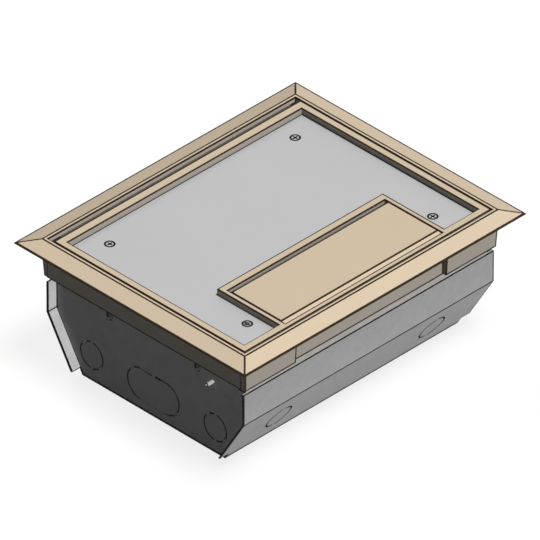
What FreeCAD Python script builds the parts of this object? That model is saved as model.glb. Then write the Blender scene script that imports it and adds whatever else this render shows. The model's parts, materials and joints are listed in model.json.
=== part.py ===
# Floor socket box: a galvanised wiring box set in the floor, a cast trim ring that is levelled
# over it, a recessed hinged lid and a small hinged flap where the cables come out.
# Millimetres, +Z up, origin under the middle of the box, +X along the long side,
# +Y towards the hinges.

import FreeCAD, Part
import math
import os

Vector = FreeCAD.Vector

# Bezel, the visible rim on the floor covering
BEZEL_LENGTH = 355.0
BEZEL_WIDTH = 291.0
BEZEL_EDGE = 1.0
BEZEL_HEIGHT = 5.4
CHAMFER_RUN = 17.8
LIP_WIDTH = 3.5

# Skirt of the trim ring, below the floor covering
SKIRT_WALL = 4.55
SKIRT_DRAFT = 1.8
SKIRT_DEPTH = 34.9
BAND_DEPTH = 17.5
SKIRT_SET_BACK = 5.15
SIDE_SKIRT_WALL = 2.1
CORNER_PAD_LENGTH = 66.15
CORNER_PAD_THICKNESS = 6.2
CORNER_PAD_STEP = 0.4
LEDGE_WIDTH = 8.2
LEDGE_THICKNESS = 3.0
RAIL_DROP = 6.4
SETTING_GAP = 5.5

# Sheet steel box
SHEET = 1.6
BOX_SET_BACK_X = 2.55
BOX_SET_BACK_Y = 4.2
BOTTOM_WIDTH = 180.6
BREAK_HEIGHT = 57.7
BOX_HEIGHT = 90.9
TOP_FLANGE = 12.0
END_PLATE_SET_BACK = 10.8
WALL_END_LIFT = 6.9
END_TAB_DEPTH = 12.0
END_TAB_RELIEF = 5.0

# Knock-outs, each scored round and left hanging on two ties
KNOCKOUT_DIAMETER = 28.2
OBLONG_LENGTH = 65.0
OBLONG_HEIGHT = 33.7
END_KNOCKOUT_PITCH = 156.4
END_KNOCKOUT_HEIGHT = 27.8
SIDE_KNOCKOUT_PITCH = 193.6
SCORE_WIDTH = 0.6
TIE_WIDTH = 4.0

# Floor fixing holes
FIXING_PITCH_X = 220.0
FIXING_PITCH_Y = 120.0
FIXING_HOLE_DIAMETER = 6.5

# Levelling screws with their brackets and gussets
LEVEL_SCREW_INSET_X = 12.0
LEVEL_SCREW_INSET_Y = 18.0
LEVEL_SCREW_DIAMETER = 5.0
LEVEL_HEAD_DIAMETER = 9.0
LEVEL_HEAD_HEIGHT = 2.9
LEVEL_SCREW_TIP = 2.3
GUSSET_REACH = 9.0
GUSSET_CORNER = 4.5
GUSSET_THICKNESS = 4.0
BRACKET_DROP = 6.9
BRACKET_THICKNESS = 2.0
BRACKET_WIDTH = 20.0
BRACKET_LEG = 24.0
BRACKET_END = 12.0
M5_NUT_FLATS = 8.0
M5_NUT_HEIGHT = 4.0

# Lid
LID_GAP = 0.95
LID_RIM_END = 7.7
LID_RIM_FRONT = 8.1
LID_RIM_BACK = 9.5
RECESS_DEPTH = 6.0
PLATE_THICKNESS = 3.0
LID_LEDGE_THICKNESS = 2.0
LID_LEDGE_WIDTH = 8.0
PLATE_CLEARANCE = 0.1
SEAL_THICKNESS = 1.0
SEAL_WIDTH = 6.0

# Screws of the lid plate and the stiffeners that they hold
PLATE_SCREW_INSET_X = 12.5
PLATE_SCREW_INSET_FRONT = 26.95
PLATE_SCREW_INSET_BACK = 22.2
PLATE_SCREW_DIAMETER = 5.0
PLATE_SCREW_HEAD = 9.5
PLATE_SCREW_LENGTH = 11.0
STIFFENER_WIDTH = 18.0
STIFFENER_HEIGHT = 10.0
STIFFENER_SHEET = 1.5
STIFFENER_END = 6.0

# Flap and its window in the lid
WINDOW_END_RIM = 56.15
WINDOW_WIDTH = 72.0
WINDOW_FRONT_RIM = 5.5
WINDOW_BAR_END = 5.4
WINDOW_BAR_BACK = 8.2
WINDOW_FOOT = 2.0
FLAP_THICKNESS = 3.0
FLAP_END_GAP = 0.6
FLAP_FRONT_GAP = 0.5
FLAP_BEVEL_RUN = 5.2
FLAP_BEVEL_DROP = 1.3
FLAP_LEDGE_WIDTH = 3.0
FLAP_SEAL_THICKNESS = 0.8
FLAP_RAIL_STEP = 1.7
FLAP_RAIL_DROP = 4.4

# Lid hinge
LID_KNUCKLE_RADIUS = 1.9
LID_HINGE_PLAY = 0.3
LID_LEAF = 1.0
LID_PIN_RADIUS = 1.0
LID_AXIS_DEPTH = 3.0
LID_HINGE_END = 10.25
LID_KNUCKLES = 15
LID_LEAF_FOOT = 13.0
LID_FIXED_LEAF = 11.6
LID_LEAF_SCREW_END = 20.0
TRIM_LEAF_SCREW_LIFT = 5.2
LID_LEAF_SCREWS = 6

# Flap hinge
FLAP_KNUCKLE_RADIUS = 1.35
FLAP_HINGE_PLAY = 0.25
FLAP_LEAF = 0.8
FLAP_PIN_RADIUS = 0.7
FLAP_AXIS_DEPTH = 2.1
FLAP_HINGE_END = 4.1
FLAP_KNUCKLES = 13
FLAP_LEAF_FOOT = 11.0
FLAP_FIXED_LEAF = 8.0
FLAP_LEAF_SCREW_END = 11.0
FRAME_LEAF_SCREW_LIFT = 2.9
FLAP_LEAF_SCREW_REACH = 6.6
FLAP_LEAF_SCREWS = 4

# Screws of the hinge leaves
M3_RADIUS = 1.5
M3_HEAD_RADIUS = 2.6
M25_RADIUS = 1.25
M25_HEAD_RADIUS = 2.1
TRIM_LEAF_SCREW_LENGTH = 5.0
LID_LEAF_SCREW_LENGTH = 7.0
FRAME_LEAF_SCREW_LENGTH = 6.0
FLAP_LEAF_SCREW_LENGTH = 3.0

# Driver recesses and heads, as shares of the head's radius or height
RECESS_REACH = 0.56
RECESS_HALF_BAR = 0.1
RECESS_TIP = 0.35
RECESS_RISE = 0.1
COUNTERSUNK_RECESS = 0.8
PAN_RECESS = 0.7
PAN_ROUNDING = 0.45

# Fits
PIN_CLEARANCE = 0.05
THREAD_CLEARANCE = 0.05
HOLE_CLEARANCE = 0.25
KNUCKLE_GAP = 0.3

# How far a cutting tool runs past a face
PAST = 1.0

# Covers of the two wiring compartments
PANEL_SPAN = 150.0
COVER_TOP_DROP = 14.9
COVER_CLEARANCE = 0.5
COVER_TAB_END = 10.5
COVER_TAB_RISE = 11.0
COVER_END_GAP = 6.0
COVER_NOTCH_CLEARANCE = 14.0
FOOT_FLANGE = 13.0
FOOT_END_GAP = 4.8
FOOT_SCREW_Y = 60.0
FOOT_SCREW_LENGTH = 4.0

# Locating screws of the covers in the notches of the end plates
NOTCH_PITCH = 111.0
NOTCH_WIDTH = 6.6
NOTCH_DROP = 13.0
M4_RADIUS = 2.0
M4_HEAD_RADIUS = 3.6
M4_HEAD_HEIGHT = 2.4
NOTCH_SCREW_OUT = 2.2
EARTH_SCREW_STEP = 19.5
EARTH_SCREW_DROP = 14.3
EARTH_TIP_CHAMFER = 0.5
EARTH_SCREW_OUT = 8.0
EARTH_HEAD_FLATS = 7.0
EARTH_HEAD_HEIGHT = 3.0

# Duplex socket outlets
DEVICE_GAP = 1.0
DEVICE_HEIGHT = 43.0
EAR_SCREW_INSET = 2.95
SOCKET_PITCH = 39.0
SOCKET_FACE_RADIUS = 17.0
SOCKET_FACE_HALF = 14.3
SOCKET_PROUD = 2.0
SOCKET_SLAB_MARGIN = 0.5
SOCKET_SLAB_WIDTH = 33.0
SOCKET_SLAB = 4.0
SOCKET_BODY_DEPTH = 20.0
STRAP_END = 11.35
STRAP_WIDTH = 20.0
STRAP_SHEET = 1.4
BLADE_PITCH = 12.7
BLADE_SLOT_LENGTH = 8.0
BLADE_SLOT_WIDTH = 1.9
BLADE_STAGGER = 0.8
EARTH_SLOT_DIAMETER = 5.0
EARTH_SLOT_DROP = 7.6
SLOT_DEPTH = 6.6
TERMINAL_RADIUS = 3.0
TERMINAL_PROUD = 2.0
TERMINAL_SLOT_WIDTH = 0.9
TERMINAL_SLOT_DEPTH = 0.8
DEVICE_SCREW_RADIUS = 1.75
DEVICE_SCREW_HEAD = 3.3
DEVICE_SCREW_LENGTH = 9.0
FACE_CLEARANCE = 0.3

# Data jacks and their frames
JACK_PITCH = 32.0
JACK_WIDTH = 14.5
JACK_HEIGHT = 16.0
JACK_DEPTH = 26.0
JACK_WINDOW_WIDTH = 11.7
JACK_WINDOW_HEIGHT = 7.6
JACK_LATCH_WIDTH = 6.0
JACK_LATCH_HEIGHT = 3.0
JACK_WINDOW_DEPTH = 13.0
JACK_CLEARANCE = 0.1
JACK_FRAME_END = 5.35
JACK_FRAME_WIDTH = 28.0
JACK_FRAME_THICKNESS = 1.8
JACK_SLEEVE_WALL = 1.6
JACK_SLEEVE_DEPTH = 8.0
CONTACT_COUNT = 8
CONTACT_PITCH = 1.02
CONTACT_WIRE = 0.4
CONTACT_LENGTH = 8.0
CONTACT_RISE = 2.4

# Heights worked out from the sizes above
BAND_BREAK_Z = BOX_HEIGHT + SETTING_GAP + SKIRT_DEPTH - BAND_DEPTH
SKIRT_BOTTOM = BOX_HEIGHT + SETTING_GAP
FLOOR_LEVEL = SKIRT_BOTTOM + SKIRT_DEPTH
TOP = FLOOR_LEVEL + BEZEL_HEIGHT
LID_DEPTH = RECESS_DEPTH + PLATE_THICKNESS + LID_LEDGE_THICKNESS
LID_BOTTOM = TOP - LID_DEPTH
PLATE_TOP = TOP - RECESS_DEPTH
PLATE_BOTTOM = PLATE_TOP - PLATE_THICKNESS
LEDGE_TOP = LID_BOTTOM - SEAL_THICKNESS
LEDGE_BOTTOM = LEDGE_TOP - LEDGE_THICKNESS
GUSSET_BOTTOM = LEDGE_BOTTOM - GUSSET_THICKNESS
FLAP_BOTTOM = TOP - FLAP_THICKNESS
FLAP_LEDGE_TOP = FLAP_BOTTOM - FLAP_SEAL_THICKNESS
BRACKET_TAB_HEIGHT = BOX_HEIGHT - BRACKET_DROP
WELD_NUT_BOTTOM = BRACKET_TAB_HEIGHT - BRACKET_THICKNESS - M5_NUT_HEIGHT
LEVEL_SCREW_LENGTH = LEDGE_BOTTOM - WELD_NUT_BOTTOM + LEVEL_SCREW_TIP
COVER_TOP_HEIGHT = BOX_HEIGHT - COVER_TOP_DROP
NOTCH_BOTTOM = BOX_HEIGHT - NOTCH_DROP
EARTH_SCREW_HEIGHT = BOX_HEIGHT - EARTH_SCREW_DROP

# Places in the plan worked out from the sizes above
OPEN_X = BEZEL_LENGTH / 2 - CHAMFER_RUN - LIP_WIDTH
OPEN_Y = BEZEL_WIDTH / 2 - CHAMFER_RUN - LIP_WIDTH
SKIRT_X = OPEN_X + SKIRT_WALL
SKIRT_Y = OPEN_Y + SKIRT_WALL
SIDE_SKIRT_Y = SKIRT_Y - SKIRT_SET_BACK
RAIL_Y = SIDE_SKIRT_Y - SIDE_SKIRT_WALL
LID_HINGE_REACH = LID_KNUCKLE_RADIUS + LID_HINGE_PLAY
LID_AXIS_Y = RAIL_Y - LID_HINGE_REACH
LID_AXIS_Z = TOP - LID_AXIS_DEPTH
LID_X = OPEN_X - LID_GAP
LID_HINGE_LENGTH = 2 * (LID_X - LID_HINGE_END)
LID_LEAF_SCREW_PITCH = (LID_HINGE_LENGTH - 2 * LID_LEAF_SCREW_END) / (LID_LEAF_SCREWS - 1)
LID_FRONT_Y = -(OPEN_Y - LID_GAP)
LID_BACK_Y = LID_AXIS_Y - LID_HINGE_REACH
RECESS_X = LID_X - LID_RIM_END
RECESS_FRONT_Y = LID_FRONT_Y + LID_RIM_FRONT
RECESS_BACK_Y = LID_BACK_Y - LID_RIM_BACK
WINDOW_X = LID_X - WINDOW_END_RIM
WINDOW_FRONT_Y = LID_FRONT_Y + WINDOW_FRONT_RIM
WINDOW_BACK_Y = WINDOW_FRONT_Y + WINDOW_WIDTH
BAR_X = WINDOW_X + WINDOW_BAR_END
BAR_BACK_Y = WINDOW_BACK_Y + WINDOW_BAR_BACK
FLAP_RAIL_Y = WINDOW_BACK_Y - FLAP_RAIL_STEP
FLAP_HINGE_REACH = FLAP_KNUCKLE_RADIUS + FLAP_HINGE_PLAY
FLAP_AXIS_Y = FLAP_RAIL_Y - FLAP_HINGE_REACH
FLAP_AXIS_Z = TOP - FLAP_AXIS_DEPTH
FLAP_BACK_Y = FLAP_AXIS_Y - FLAP_HINGE_REACH
FLAP_FRONT_Y = WINDOW_FRONT_Y + FLAP_FRONT_GAP
FLAP_X = WINDOW_X - FLAP_END_GAP
FLAP_HINGE_LENGTH = 2 * (WINDOW_X - FLAP_HINGE_END)
FLAP_LEAF_SCREW_PITCH = (FLAP_HINGE_LENGTH - 2 * FLAP_LEAF_SCREW_END) / (FLAP_LEAF_SCREWS - 1)
PLATE_SCREW_X = BAR_X + PLATE_SCREW_INSET_X
PLATE_SCREW_FRONT_Y = RECESS_FRONT_Y + PLATE_SCREW_INSET_FRONT
PLATE_SCREW_BACK_Y = RECESS_BACK_Y - PLATE_SCREW_INSET_BACK
BOX_LENGTH = 2 * (SKIRT_X - BOX_SET_BACK_X)
BOX_WIDTH = 2 * (SKIRT_Y - BOX_SET_BACK_Y)
HALF_WIDTH = BOX_WIDTH / 2
HALF_BOTTOM = BOTTOM_WIDTH / 2
END_OUT = BOX_LENGTH / 2 - END_PLATE_SET_BACK
END_IN = END_OUT - SHEET
WALL_IN_Y = HALF_WIDTH - SHEET
LEVEL_X = END_IN - LEVEL_SCREW_INSET_X
LEVEL_Y = WALL_IN_Y - LEVEL_SCREW_INSET_Y
PANEL_FRONT = PANEL_SPAN / 2 - SHEET
PANEL_BACK = PANEL_SPAN / 2
LID_FOOT_DROP = LID_AXIS_Z - LID_BOTTOM + LID_LEAF
FLAP_FOOT_DROP = FLAP_AXIS_Z - FLAP_BOTTOM + FLAP_LEAF
TRIM_SCREW_Z = LID_AXIS_Z - LID_FIXED_LEAF + TRIM_LEAF_SCREW_LIFT
LID_SCREW_Y = (LID_BACK_Y + RECESS_BACK_Y) / 2
FRAME_SCREW_Z = FLAP_AXIS_Z - FLAP_FIXED_LEAF + FRAME_LEAF_SCREW_LIFT
FLAP_SCREW_Y = FLAP_AXIS_Y - FLAP_LEAF_SCREW_REACH
FLAP_SEAL_BACK_Y = FLAP_AXIS_Y - FLAP_LEAF_FOOT - HOLE_CLEARANCE
STRAP_BACK = -SHEET - SOCKET_SLAB - STRAP_SHEET
NOTCH_SCREW_Z = NOTCH_BOTTOM + M4_RADIUS + HOLE_CLEARANCE
COVER_TAB_HALF = NOTCH_PITCH / 2 + COVER_TAB_END
EARTH_SCREW_Y = -(NOTCH_PITCH / 2 + EARTH_SCREW_STEP)

# Devices along a panel, as many as the box's width takes at the height of their straps
SOCKET_SLAB_LENGTH = SOCKET_PITCH + 2 * (SOCKET_FACE_RADIUS + SOCKET_SLAB_MARGIN)
DEVICE_SCREW_PITCH = SOCKET_SLAB_LENGTH + 2 * (FACE_CLEARANCE + STRAP_SHEET + EAR_SCREW_INSET)
STRAP_LENGTH = DEVICE_SCREW_PITCH + 2 * STRAP_END
JACK_FRAME_LENGTH = DEVICE_SCREW_PITCH + 2 * JACK_FRAME_END
DEVICE_PITCH = STRAP_LENGTH + DEVICE_GAP
SLOPE_RUN = HALF_WIDTH - HALF_BOTTOM
SLOPE_SHEET = SHEET * math.hypot(SLOPE_RUN, BREAK_HEIGHT) / BREAK_HEIGHT
STRAP_BOTTOM = DEVICE_HEIGHT - STRAP_WIDTH / 2
DEVICE_ROOM = 2 * (HALF_BOTTOM + SLOPE_RUN * STRAP_BOTTOM / BREAK_HEIGHT - SLOPE_SHEET)
DEVICE_COUNT = int((DEVICE_ROOM + DEVICE_GAP) // DEVICE_PITCH)

SIDES = (-1, 1)
CORNERS = [(a, b) for a in SIDES for b in SIDES]


# Basic shapes

def block(x0, x1, y0, y1, z0, z1):
    """A box between two corners."""
    return Part.makeBox(x1 - x0, y1 - y0, z1 - z0, Vector(x0, y0, z0))


def rod(start, direction, radius, length):
    """A round bar from a point along a direction."""
    return Part.makeCylinder(radius, length, start, direction)


def prism_along_x(points, x0, x1):
    """A polygon in the YZ plane, drawn out from x0 to x1."""
    corners = [Vector(x0, y, z) for y, z in points]
    face = Part.Face(Part.makePolygon(corners + corners[:1]))
    return face.extrude(Vector(x1 - x0, 0, 0))


def prism_along_y(points, y0, y1):
    """A polygon in the XZ plane, drawn out from y0 to y1."""
    corners = [Vector(x, y0, z) for x, z in points]
    face = Part.Face(Part.makePolygon(corners + corners[:1]))
    return face.extrude(Vector(0, y1 - y0, 0))


def prism_along_z(points, z0, z1):
    """A polygon in the XY plane, drawn out from z0 to z1."""
    corners = [Vector(x, y, z0) for x, y in points]
    face = Part.Face(Part.makePolygon(corners + corners[:1]))
    return face.extrude(Vector(0, 0, z1 - z0))


def joined(shapes):
    """Several touching shapes as one clean solid."""
    return shapes[0].fuse(shapes[1:]).removeSplitter()


def cut_all(shape, tools):
    """A shape less a list of tools."""
    return shape.cut(tools).removeSplitter()


def save(name, shapes):
    """Write a node: one solid, or a group of separate solids."""
    if not isinstance(shapes, list):
        shapes = [shapes]
    solids = [solid for shape in shapes for solid in shape.Solids]
    whole = solids[0] if len(solids) == 1 else Part.makeCompound(solids)
    whole.exportStep("parts/" + name + ".step")
    print(name, len(solids), all(solid.isValid() for solid in solids))


def stand(shape, point, direction):
    """Turn a shape's +Z to a direction and move its origin to a point."""
    turned = shape.copy()
    turned.Placement = FreeCAD.Placement(point, FreeCAD.Rotation(Vector(0, 0, 1), direction))
    return turned


# Fasteners, drawn with the head's top at the origin and the shank along -Z

def cross_recess(head_radius, depth):
    """The driver recess: two crossed bars with sloping ends."""
    reach = head_radius * RECESS_REACH
    half = head_radius * RECESS_HALF_BAR
    tip = reach * RECESS_TIP
    wedge = [(-reach, RECESS_RISE), (reach, RECESS_RISE), (tip, -depth), (-tip, -depth)]
    bar = prism_along_y(wedge, -half, half)
    other = bar.copy()
    other.rotate(Vector(0, 0, 0), Vector(0, 0, 1), 90)
    return bar.fuse(other)


def countersunk_screw(radius, head_radius, length):
    """A cross-recess screw whose head is flush with the face."""
    cone = head_radius - radius
    head = Part.makeCone(radius, head_radius, cone, Vector(0, 0, -cone))
    shank = rod(Vector(0, 0, -length), Vector(0, 0, 1), radius, length - cone)
    return joined([head, shank]).cut(cross_recess(head_radius, cone * COUNTERSUNK_RECESS))


def countersink(radius, head_radius, depth):
    """The hole that a countersunk screw fills, with its thread clearance."""
    bore = radius + THREAD_CLEARANCE
    wide = head_radius + THREAD_CLEARANCE
    cone = wide - bore
    mouth = Part.makeCone(bore, wide, cone, Vector(0, 0, -cone))
    return mouth.fuse(rod(Vector(0, 0, -depth), Vector(0, 0, 1), bore, depth))


def pan_screw(radius, head_radius, head_height, length):
    """A pan-head screw; the underside of the head is at the origin."""
    head = rod(Vector(0, 0, 0), Vector(0, 0, 1), head_radius, head_height)
    rim = [edge for edge in head.Edges if edge.BoundBox.ZMin > head_height / 2]
    head = head.makeFillet(head_height * PAN_ROUNDING, rim)
    shank = rod(Vector(0, 0, -length), Vector(0, 0, 1), radius, length)
    recess = cross_recess(head_radius, head_height * PAN_RECESS)
    recess.translate(Vector(0, 0, head_height))
    return joined([head, shank]).cut(recess)


def hex_block(flats, height):
    """A hexagonal prism from the origin up."""
    reach = flats / math.sqrt(3)
    points = []
    for step in range(6):
        angle = math.radians(60 * step)
        points.append((reach * math.cos(angle), reach * math.sin(angle)))
    return prism_along_z(points, 0, height)


def hex_nut(flats, height, radius):
    """A nut from the origin up, on a screw of the given radius."""
    hole = rod(Vector(0, 0, -PAST), Vector(0, 0, 1), radius + THREAD_CLEARANCE, height + 2 * PAST)
    return hex_block(flats, height).cut(hole)


# Bent sheet

def parallel_path(points, distance):
    """The path beside an open path, at a distance on its left, with mitred corners."""
    normals = []
    for (ax, ay), (bx, by) in zip(points, points[1:]):
        length = math.hypot(bx - ax, by - ay)
        normals.append(((ay - by) / length, (bx - ax) / length))
    beside = []
    for index, (px, py) in enumerate(points):
        before = normals[max(index - 1, 0)]
        after = normals[min(index, len(normals) - 1)]
        spread = 1 + before[0] * after[0] + before[1] * after[1]
        beside.append((px + distance * (before[0] + after[0]) / spread,
                       py + distance * (before[1] + after[1]) / spread))
    return beside


def sheet_section(points, thickness):
    """The closed outline of a bent sheet whose outer face follows the path."""
    return points + parallel_path(points, thickness)[::-1]


# Box section: outer face from the -Y top flange round the bottom to the +Y top flange
BOX_PATH = [
    (-HALF_WIDTH + TOP_FLANGE, BOX_HEIGHT),
    (-HALF_WIDTH, BOX_HEIGHT),
    (-HALF_WIDTH, BREAK_HEIGHT),
    (-HALF_BOTTOM, 0),
    (HALF_BOTTOM, 0),
    (HALF_WIDTH, BREAK_HEIGHT),
    (HALF_WIDTH, BOX_HEIGHT),
    (HALF_WIDTH - TOP_FLANGE, BOX_HEIGHT),
]
INNER_PATH = parallel_path(BOX_PATH, SHEET)[1:-1]


def inside_section(top, clearance):
    """The box's inner outline up to a height, held off the walls by a clearance."""
    near = parallel_path(INNER_PATH, clearance)
    walls = near[1:-1]
    return [(near[0][0], top)] + walls + [(near[-1][0], top)]


# Knock-outs

def score_ring(length, height, depth):
    """A cut round an oblong or a circle, along +Z, that leaves two ties."""
    def oblong(extra):
        radius = height / 2 + extra
        straight = length - height
        ends = []
        for side in SIDES:
            ends.append(rod(Vector(side * straight / 2, 0, 0), Vector(0, 0, 1), radius, depth))
        if straight > 0:
            ends.append(block(-straight / 2, straight / 2, -radius, radius, 0, depth))
            return joined(ends)
        return ends[0]
    ring = oblong(SCORE_WIDTH / 2).cut(oblong(-SCORE_WIDTH / 2))
    ties = block(-TIE_WIDTH / 2, TIE_WIDTH / 2, -height, height, -PAST, depth + PAST)
    return ring.cut(ties)


# Box shell and end plates

def side_knockouts():
    """Scored knock-outs half-way up the sloping walls."""
    tools = []
    middle_y = (HALF_WIDTH + HALF_BOTTOM) / 2
    middle_z = BREAK_HEIGHT / 2
    for side in SIDES:
        inward = Vector(0, -side * BREAK_HEIGHT, HALF_WIDTH - HALF_BOTTOM)
        inward.normalize()
        for end in SIDES:
            centre = Vector(end * SIDE_KNOCKOUT_PITCH / 2, side * middle_y, middle_z)
            ring = score_ring(KNOCKOUT_DIAMETER, KNOCKOUT_DIAMETER, SHEET + 2 * PAST)
            tools.append(stand(ring, centre - inward * PAST, inward))
    return tools


def box_shell():
    """One bent sheet: bottom, sloping and upright walls and the top flanges."""
    section = sheet_section(BOX_PATH, SHEET)
    shell = prism_along_x(section, -BOX_LENGTH / 2, BOX_LENGTH / 2)
    tools = side_knockouts()
    for side in SIDES:
        low, high = sorted((side * END_OUT, side * BOX_LENGTH))
        tools.append(block(low, high, -BOX_WIDTH, BOX_WIDTH, -PAST, WALL_END_LIFT))
    for a, b in CORNERS:
        spot = Vector(a * FIXING_PITCH_X / 2, b * FIXING_PITCH_Y / 2, -PAST)
        tools.append(rod(spot, Vector(0, 0, 1), FIXING_HOLE_DIAMETER / 2, SHEET + 2 * PAST))
        foot = Vector(a * (PANEL_FRONT - FOOT_FLANGE / 2), b * FOOT_SCREW_Y, -PAST)
        tools.append(rod(foot, Vector(0, 0, 1), M4_RADIUS + THREAD_CLEARANCE, SHEET + 2 * PAST))
    return cut_all(shell, tools)


def end_plate(side):
    """A flanged end plate, welded inside the box by its tabs."""
    outline = inside_section(BOX_HEIGHT - SHEET, 0)
    low, high = sorted((side * END_OUT, side * END_IN))
    pieces = [prism_along_x(outline, low, high)]
    inner = parallel_path(outline, SHEET)
    tab_end = END_IN - END_TAB_DEPTH
    low, high = sorted((side * END_IN, side * tab_end))
    for index in range(len(outline) - 1):
        a, b = outline[index], outline[index + 1]
        c, d = inner[index + 1], inner[index]
        length = math.hypot(b[0] - a[0], b[1] - a[1])
        step = ((b[0] - a[0]) / length * END_TAB_RELIEF, (b[1] - a[1]) / length * END_TAB_RELIEF)
        tab = [
            (a[0] + step[0], a[1] + step[1]),
            (b[0] - step[0], b[1] - step[1]),
            (c[0] - step[0], c[1] - step[1]),
            (d[0] + step[0], d[1] + step[1]),
        ]
        pieces.append(prism_along_x(tab, low, high))
    plate = joined(pieces)
    outward = Vector(side, 0, 0)
    tools = []
    spots = [(y * END_KNOCKOUT_PITCH / 2, KNOCKOUT_DIAMETER, KNOCKOUT_DIAMETER) for y in SIDES]
    spots.append((0, OBLONG_LENGTH, OBLONG_HEIGHT))
    for y, length, height in spots:
        ring = score_ring(length, height, SHEET + 2 * PAST)
        turn = FreeCAD.Rotation(Vector(0, 1, 0), Vector(0, 0, 1), outward, "ZXY")
        start = Vector(side * (END_IN - PAST), y, END_KNOCKOUT_HEIGHT)
        ring.Placement = FreeCAD.Placement(start, turn)
        tools.append(ring)
    notch_z = NOTCH_BOTTOM + NOTCH_WIDTH / 2
    for y in SIDES:
        start = Vector(side * (END_IN - PAST), y * NOTCH_PITCH / 2, notch_z)
        tools.append(rod(start, outward, NOTCH_WIDTH / 2, SHEET + 2 * PAST))
        low, high = sorted((side * (END_IN - PAST), side * (END_OUT + PAST)))
        left = y * NOTCH_PITCH / 2 - NOTCH_WIDTH / 2
        tools.append(block(low, high, left, left + NOTCH_WIDTH, notch_z, BOX_HEIGHT))
    if side < 0:
        start = Vector(-(END_IN - PAST), EARTH_SCREW_Y, EARTH_SCREW_HEIGHT)
        tools.append(rod(start, outward, M4_RADIUS + THREAD_CLEARANCE, SHEET + 2 * PAST))
    return cut_all(plate, tools)


# Levelling

def corner_brackets():
    """Angle brackets welded inside the end plates, which take the levelling screws."""
    brackets = []
    for a, b in CORNERS:
        path = [(a * END_IN, BRACKET_TAB_HEIGHT - BRACKET_LEG),
                (a * END_IN, BRACKET_TAB_HEIGHT),
                (a * (LEVEL_X - BRACKET_END), BRACKET_TAB_HEIGHT)]
        section = sheet_section(path, a * BRACKET_THICKNESS)
        middle = b * LEVEL_Y
        tab = prism_along_y(section, middle - BRACKET_WIDTH / 2, middle + BRACKET_WIDTH / 2)
        hole = rod(Vector(a * LEVEL_X, middle, 0), Vector(0, 0, 1),
                   LEVEL_SCREW_DIAMETER / 2 + HOLE_CLEARANCE, FLOOR_LEVEL)
        brackets.append(tab.cut(hole))
    return brackets


def at_corners(shape, height):
    """A copy of a shape on each levelling screw's axis."""
    copies = []
    for a, b in CORNERS:
        copies.append(stand(shape, Vector(a * LEVEL_X, b * LEVEL_Y, height), Vector(0, 0, 1)))
    return copies


def levelling_screws():
    """Pan-head screws from the trim ring's gussets down to the brackets."""
    radius = LEVEL_SCREW_DIAMETER / 2
    screw = pan_screw(radius, LEVEL_HEAD_DIAMETER / 2, LEVEL_HEAD_HEIGHT, LEVEL_SCREW_LENGTH)
    return at_corners(screw, LEDGE_BOTTOM)


def bracket_nuts():
    """Weld nuts under the bracket tabs."""
    nut = hex_nut(M5_NUT_FLATS, M5_NUT_HEIGHT, LEVEL_SCREW_DIAMETER / 2)
    return at_corners(nut, WELD_NUT_BOTTOM)


def lock_nuts():
    """Nuts that hold the trim ring's gussets up against the screw heads."""
    nut = hex_nut(M5_NUT_FLATS, M5_NUT_HEIGHT, LEVEL_SCREW_DIAMETER / 2)
    return at_corners(nut, GUSSET_BOTTOM - M5_NUT_HEIGHT)


# Trim ring

def tapered_block(half_x, half_y, low, high, low_inset, high_inset):
    """A block on the middle axis whose four sides lean, with an inset at each end."""
    outlines = []
    for z, inset in ((low, low_inset), (high, high_inset)):
        x = half_x - inset
        y = half_y - inset
        corners = [Vector(-x, -y, z), Vector(x, -y, z), Vector(x, y, z), Vector(-x, y, z)]
        outlines.append(Part.makePolygon(corners + corners[:1]))
    return Part.makeLoft(outlines, True, True)


def bezel():
    """The rim on the floor: a low edge, a sloping face and a narrow flat lip."""
    half_x = BEZEL_LENGTH / 2
    half_y = BEZEL_WIDTH / 2
    edge_top = FLOOR_LEVEL + BEZEL_EDGE
    edge = block(-half_x, half_x, -half_y, half_y, FLOOR_LEVEL, edge_top)
    return joined([edge, tapered_block(half_x, half_y, edge_top, TOP, 0, CHAMFER_RUN)])


def skirt():
    """The drafted skirt; at its ends the corner pads stand back by a small step."""
    seam_y = SKIRT_Y - CORNER_PAD_THICKNESS
    ends = tapered_block(SKIRT_X, SKIRT_Y, SKIRT_BOTTOM, FLOOR_LEVEL, SKIRT_DRAFT, 0)
    ends = ends.common(block(-BEZEL_LENGTH, BEZEL_LENGTH, -seam_y, seam_y, 0, TOP))
    pads = tapered_block(SKIRT_X - CORNER_PAD_STEP, SKIRT_Y, SKIRT_BOTTOM, FLOOR_LEVEL,
                         SKIRT_DRAFT, 0)
    return joined([ends, pads])


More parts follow.
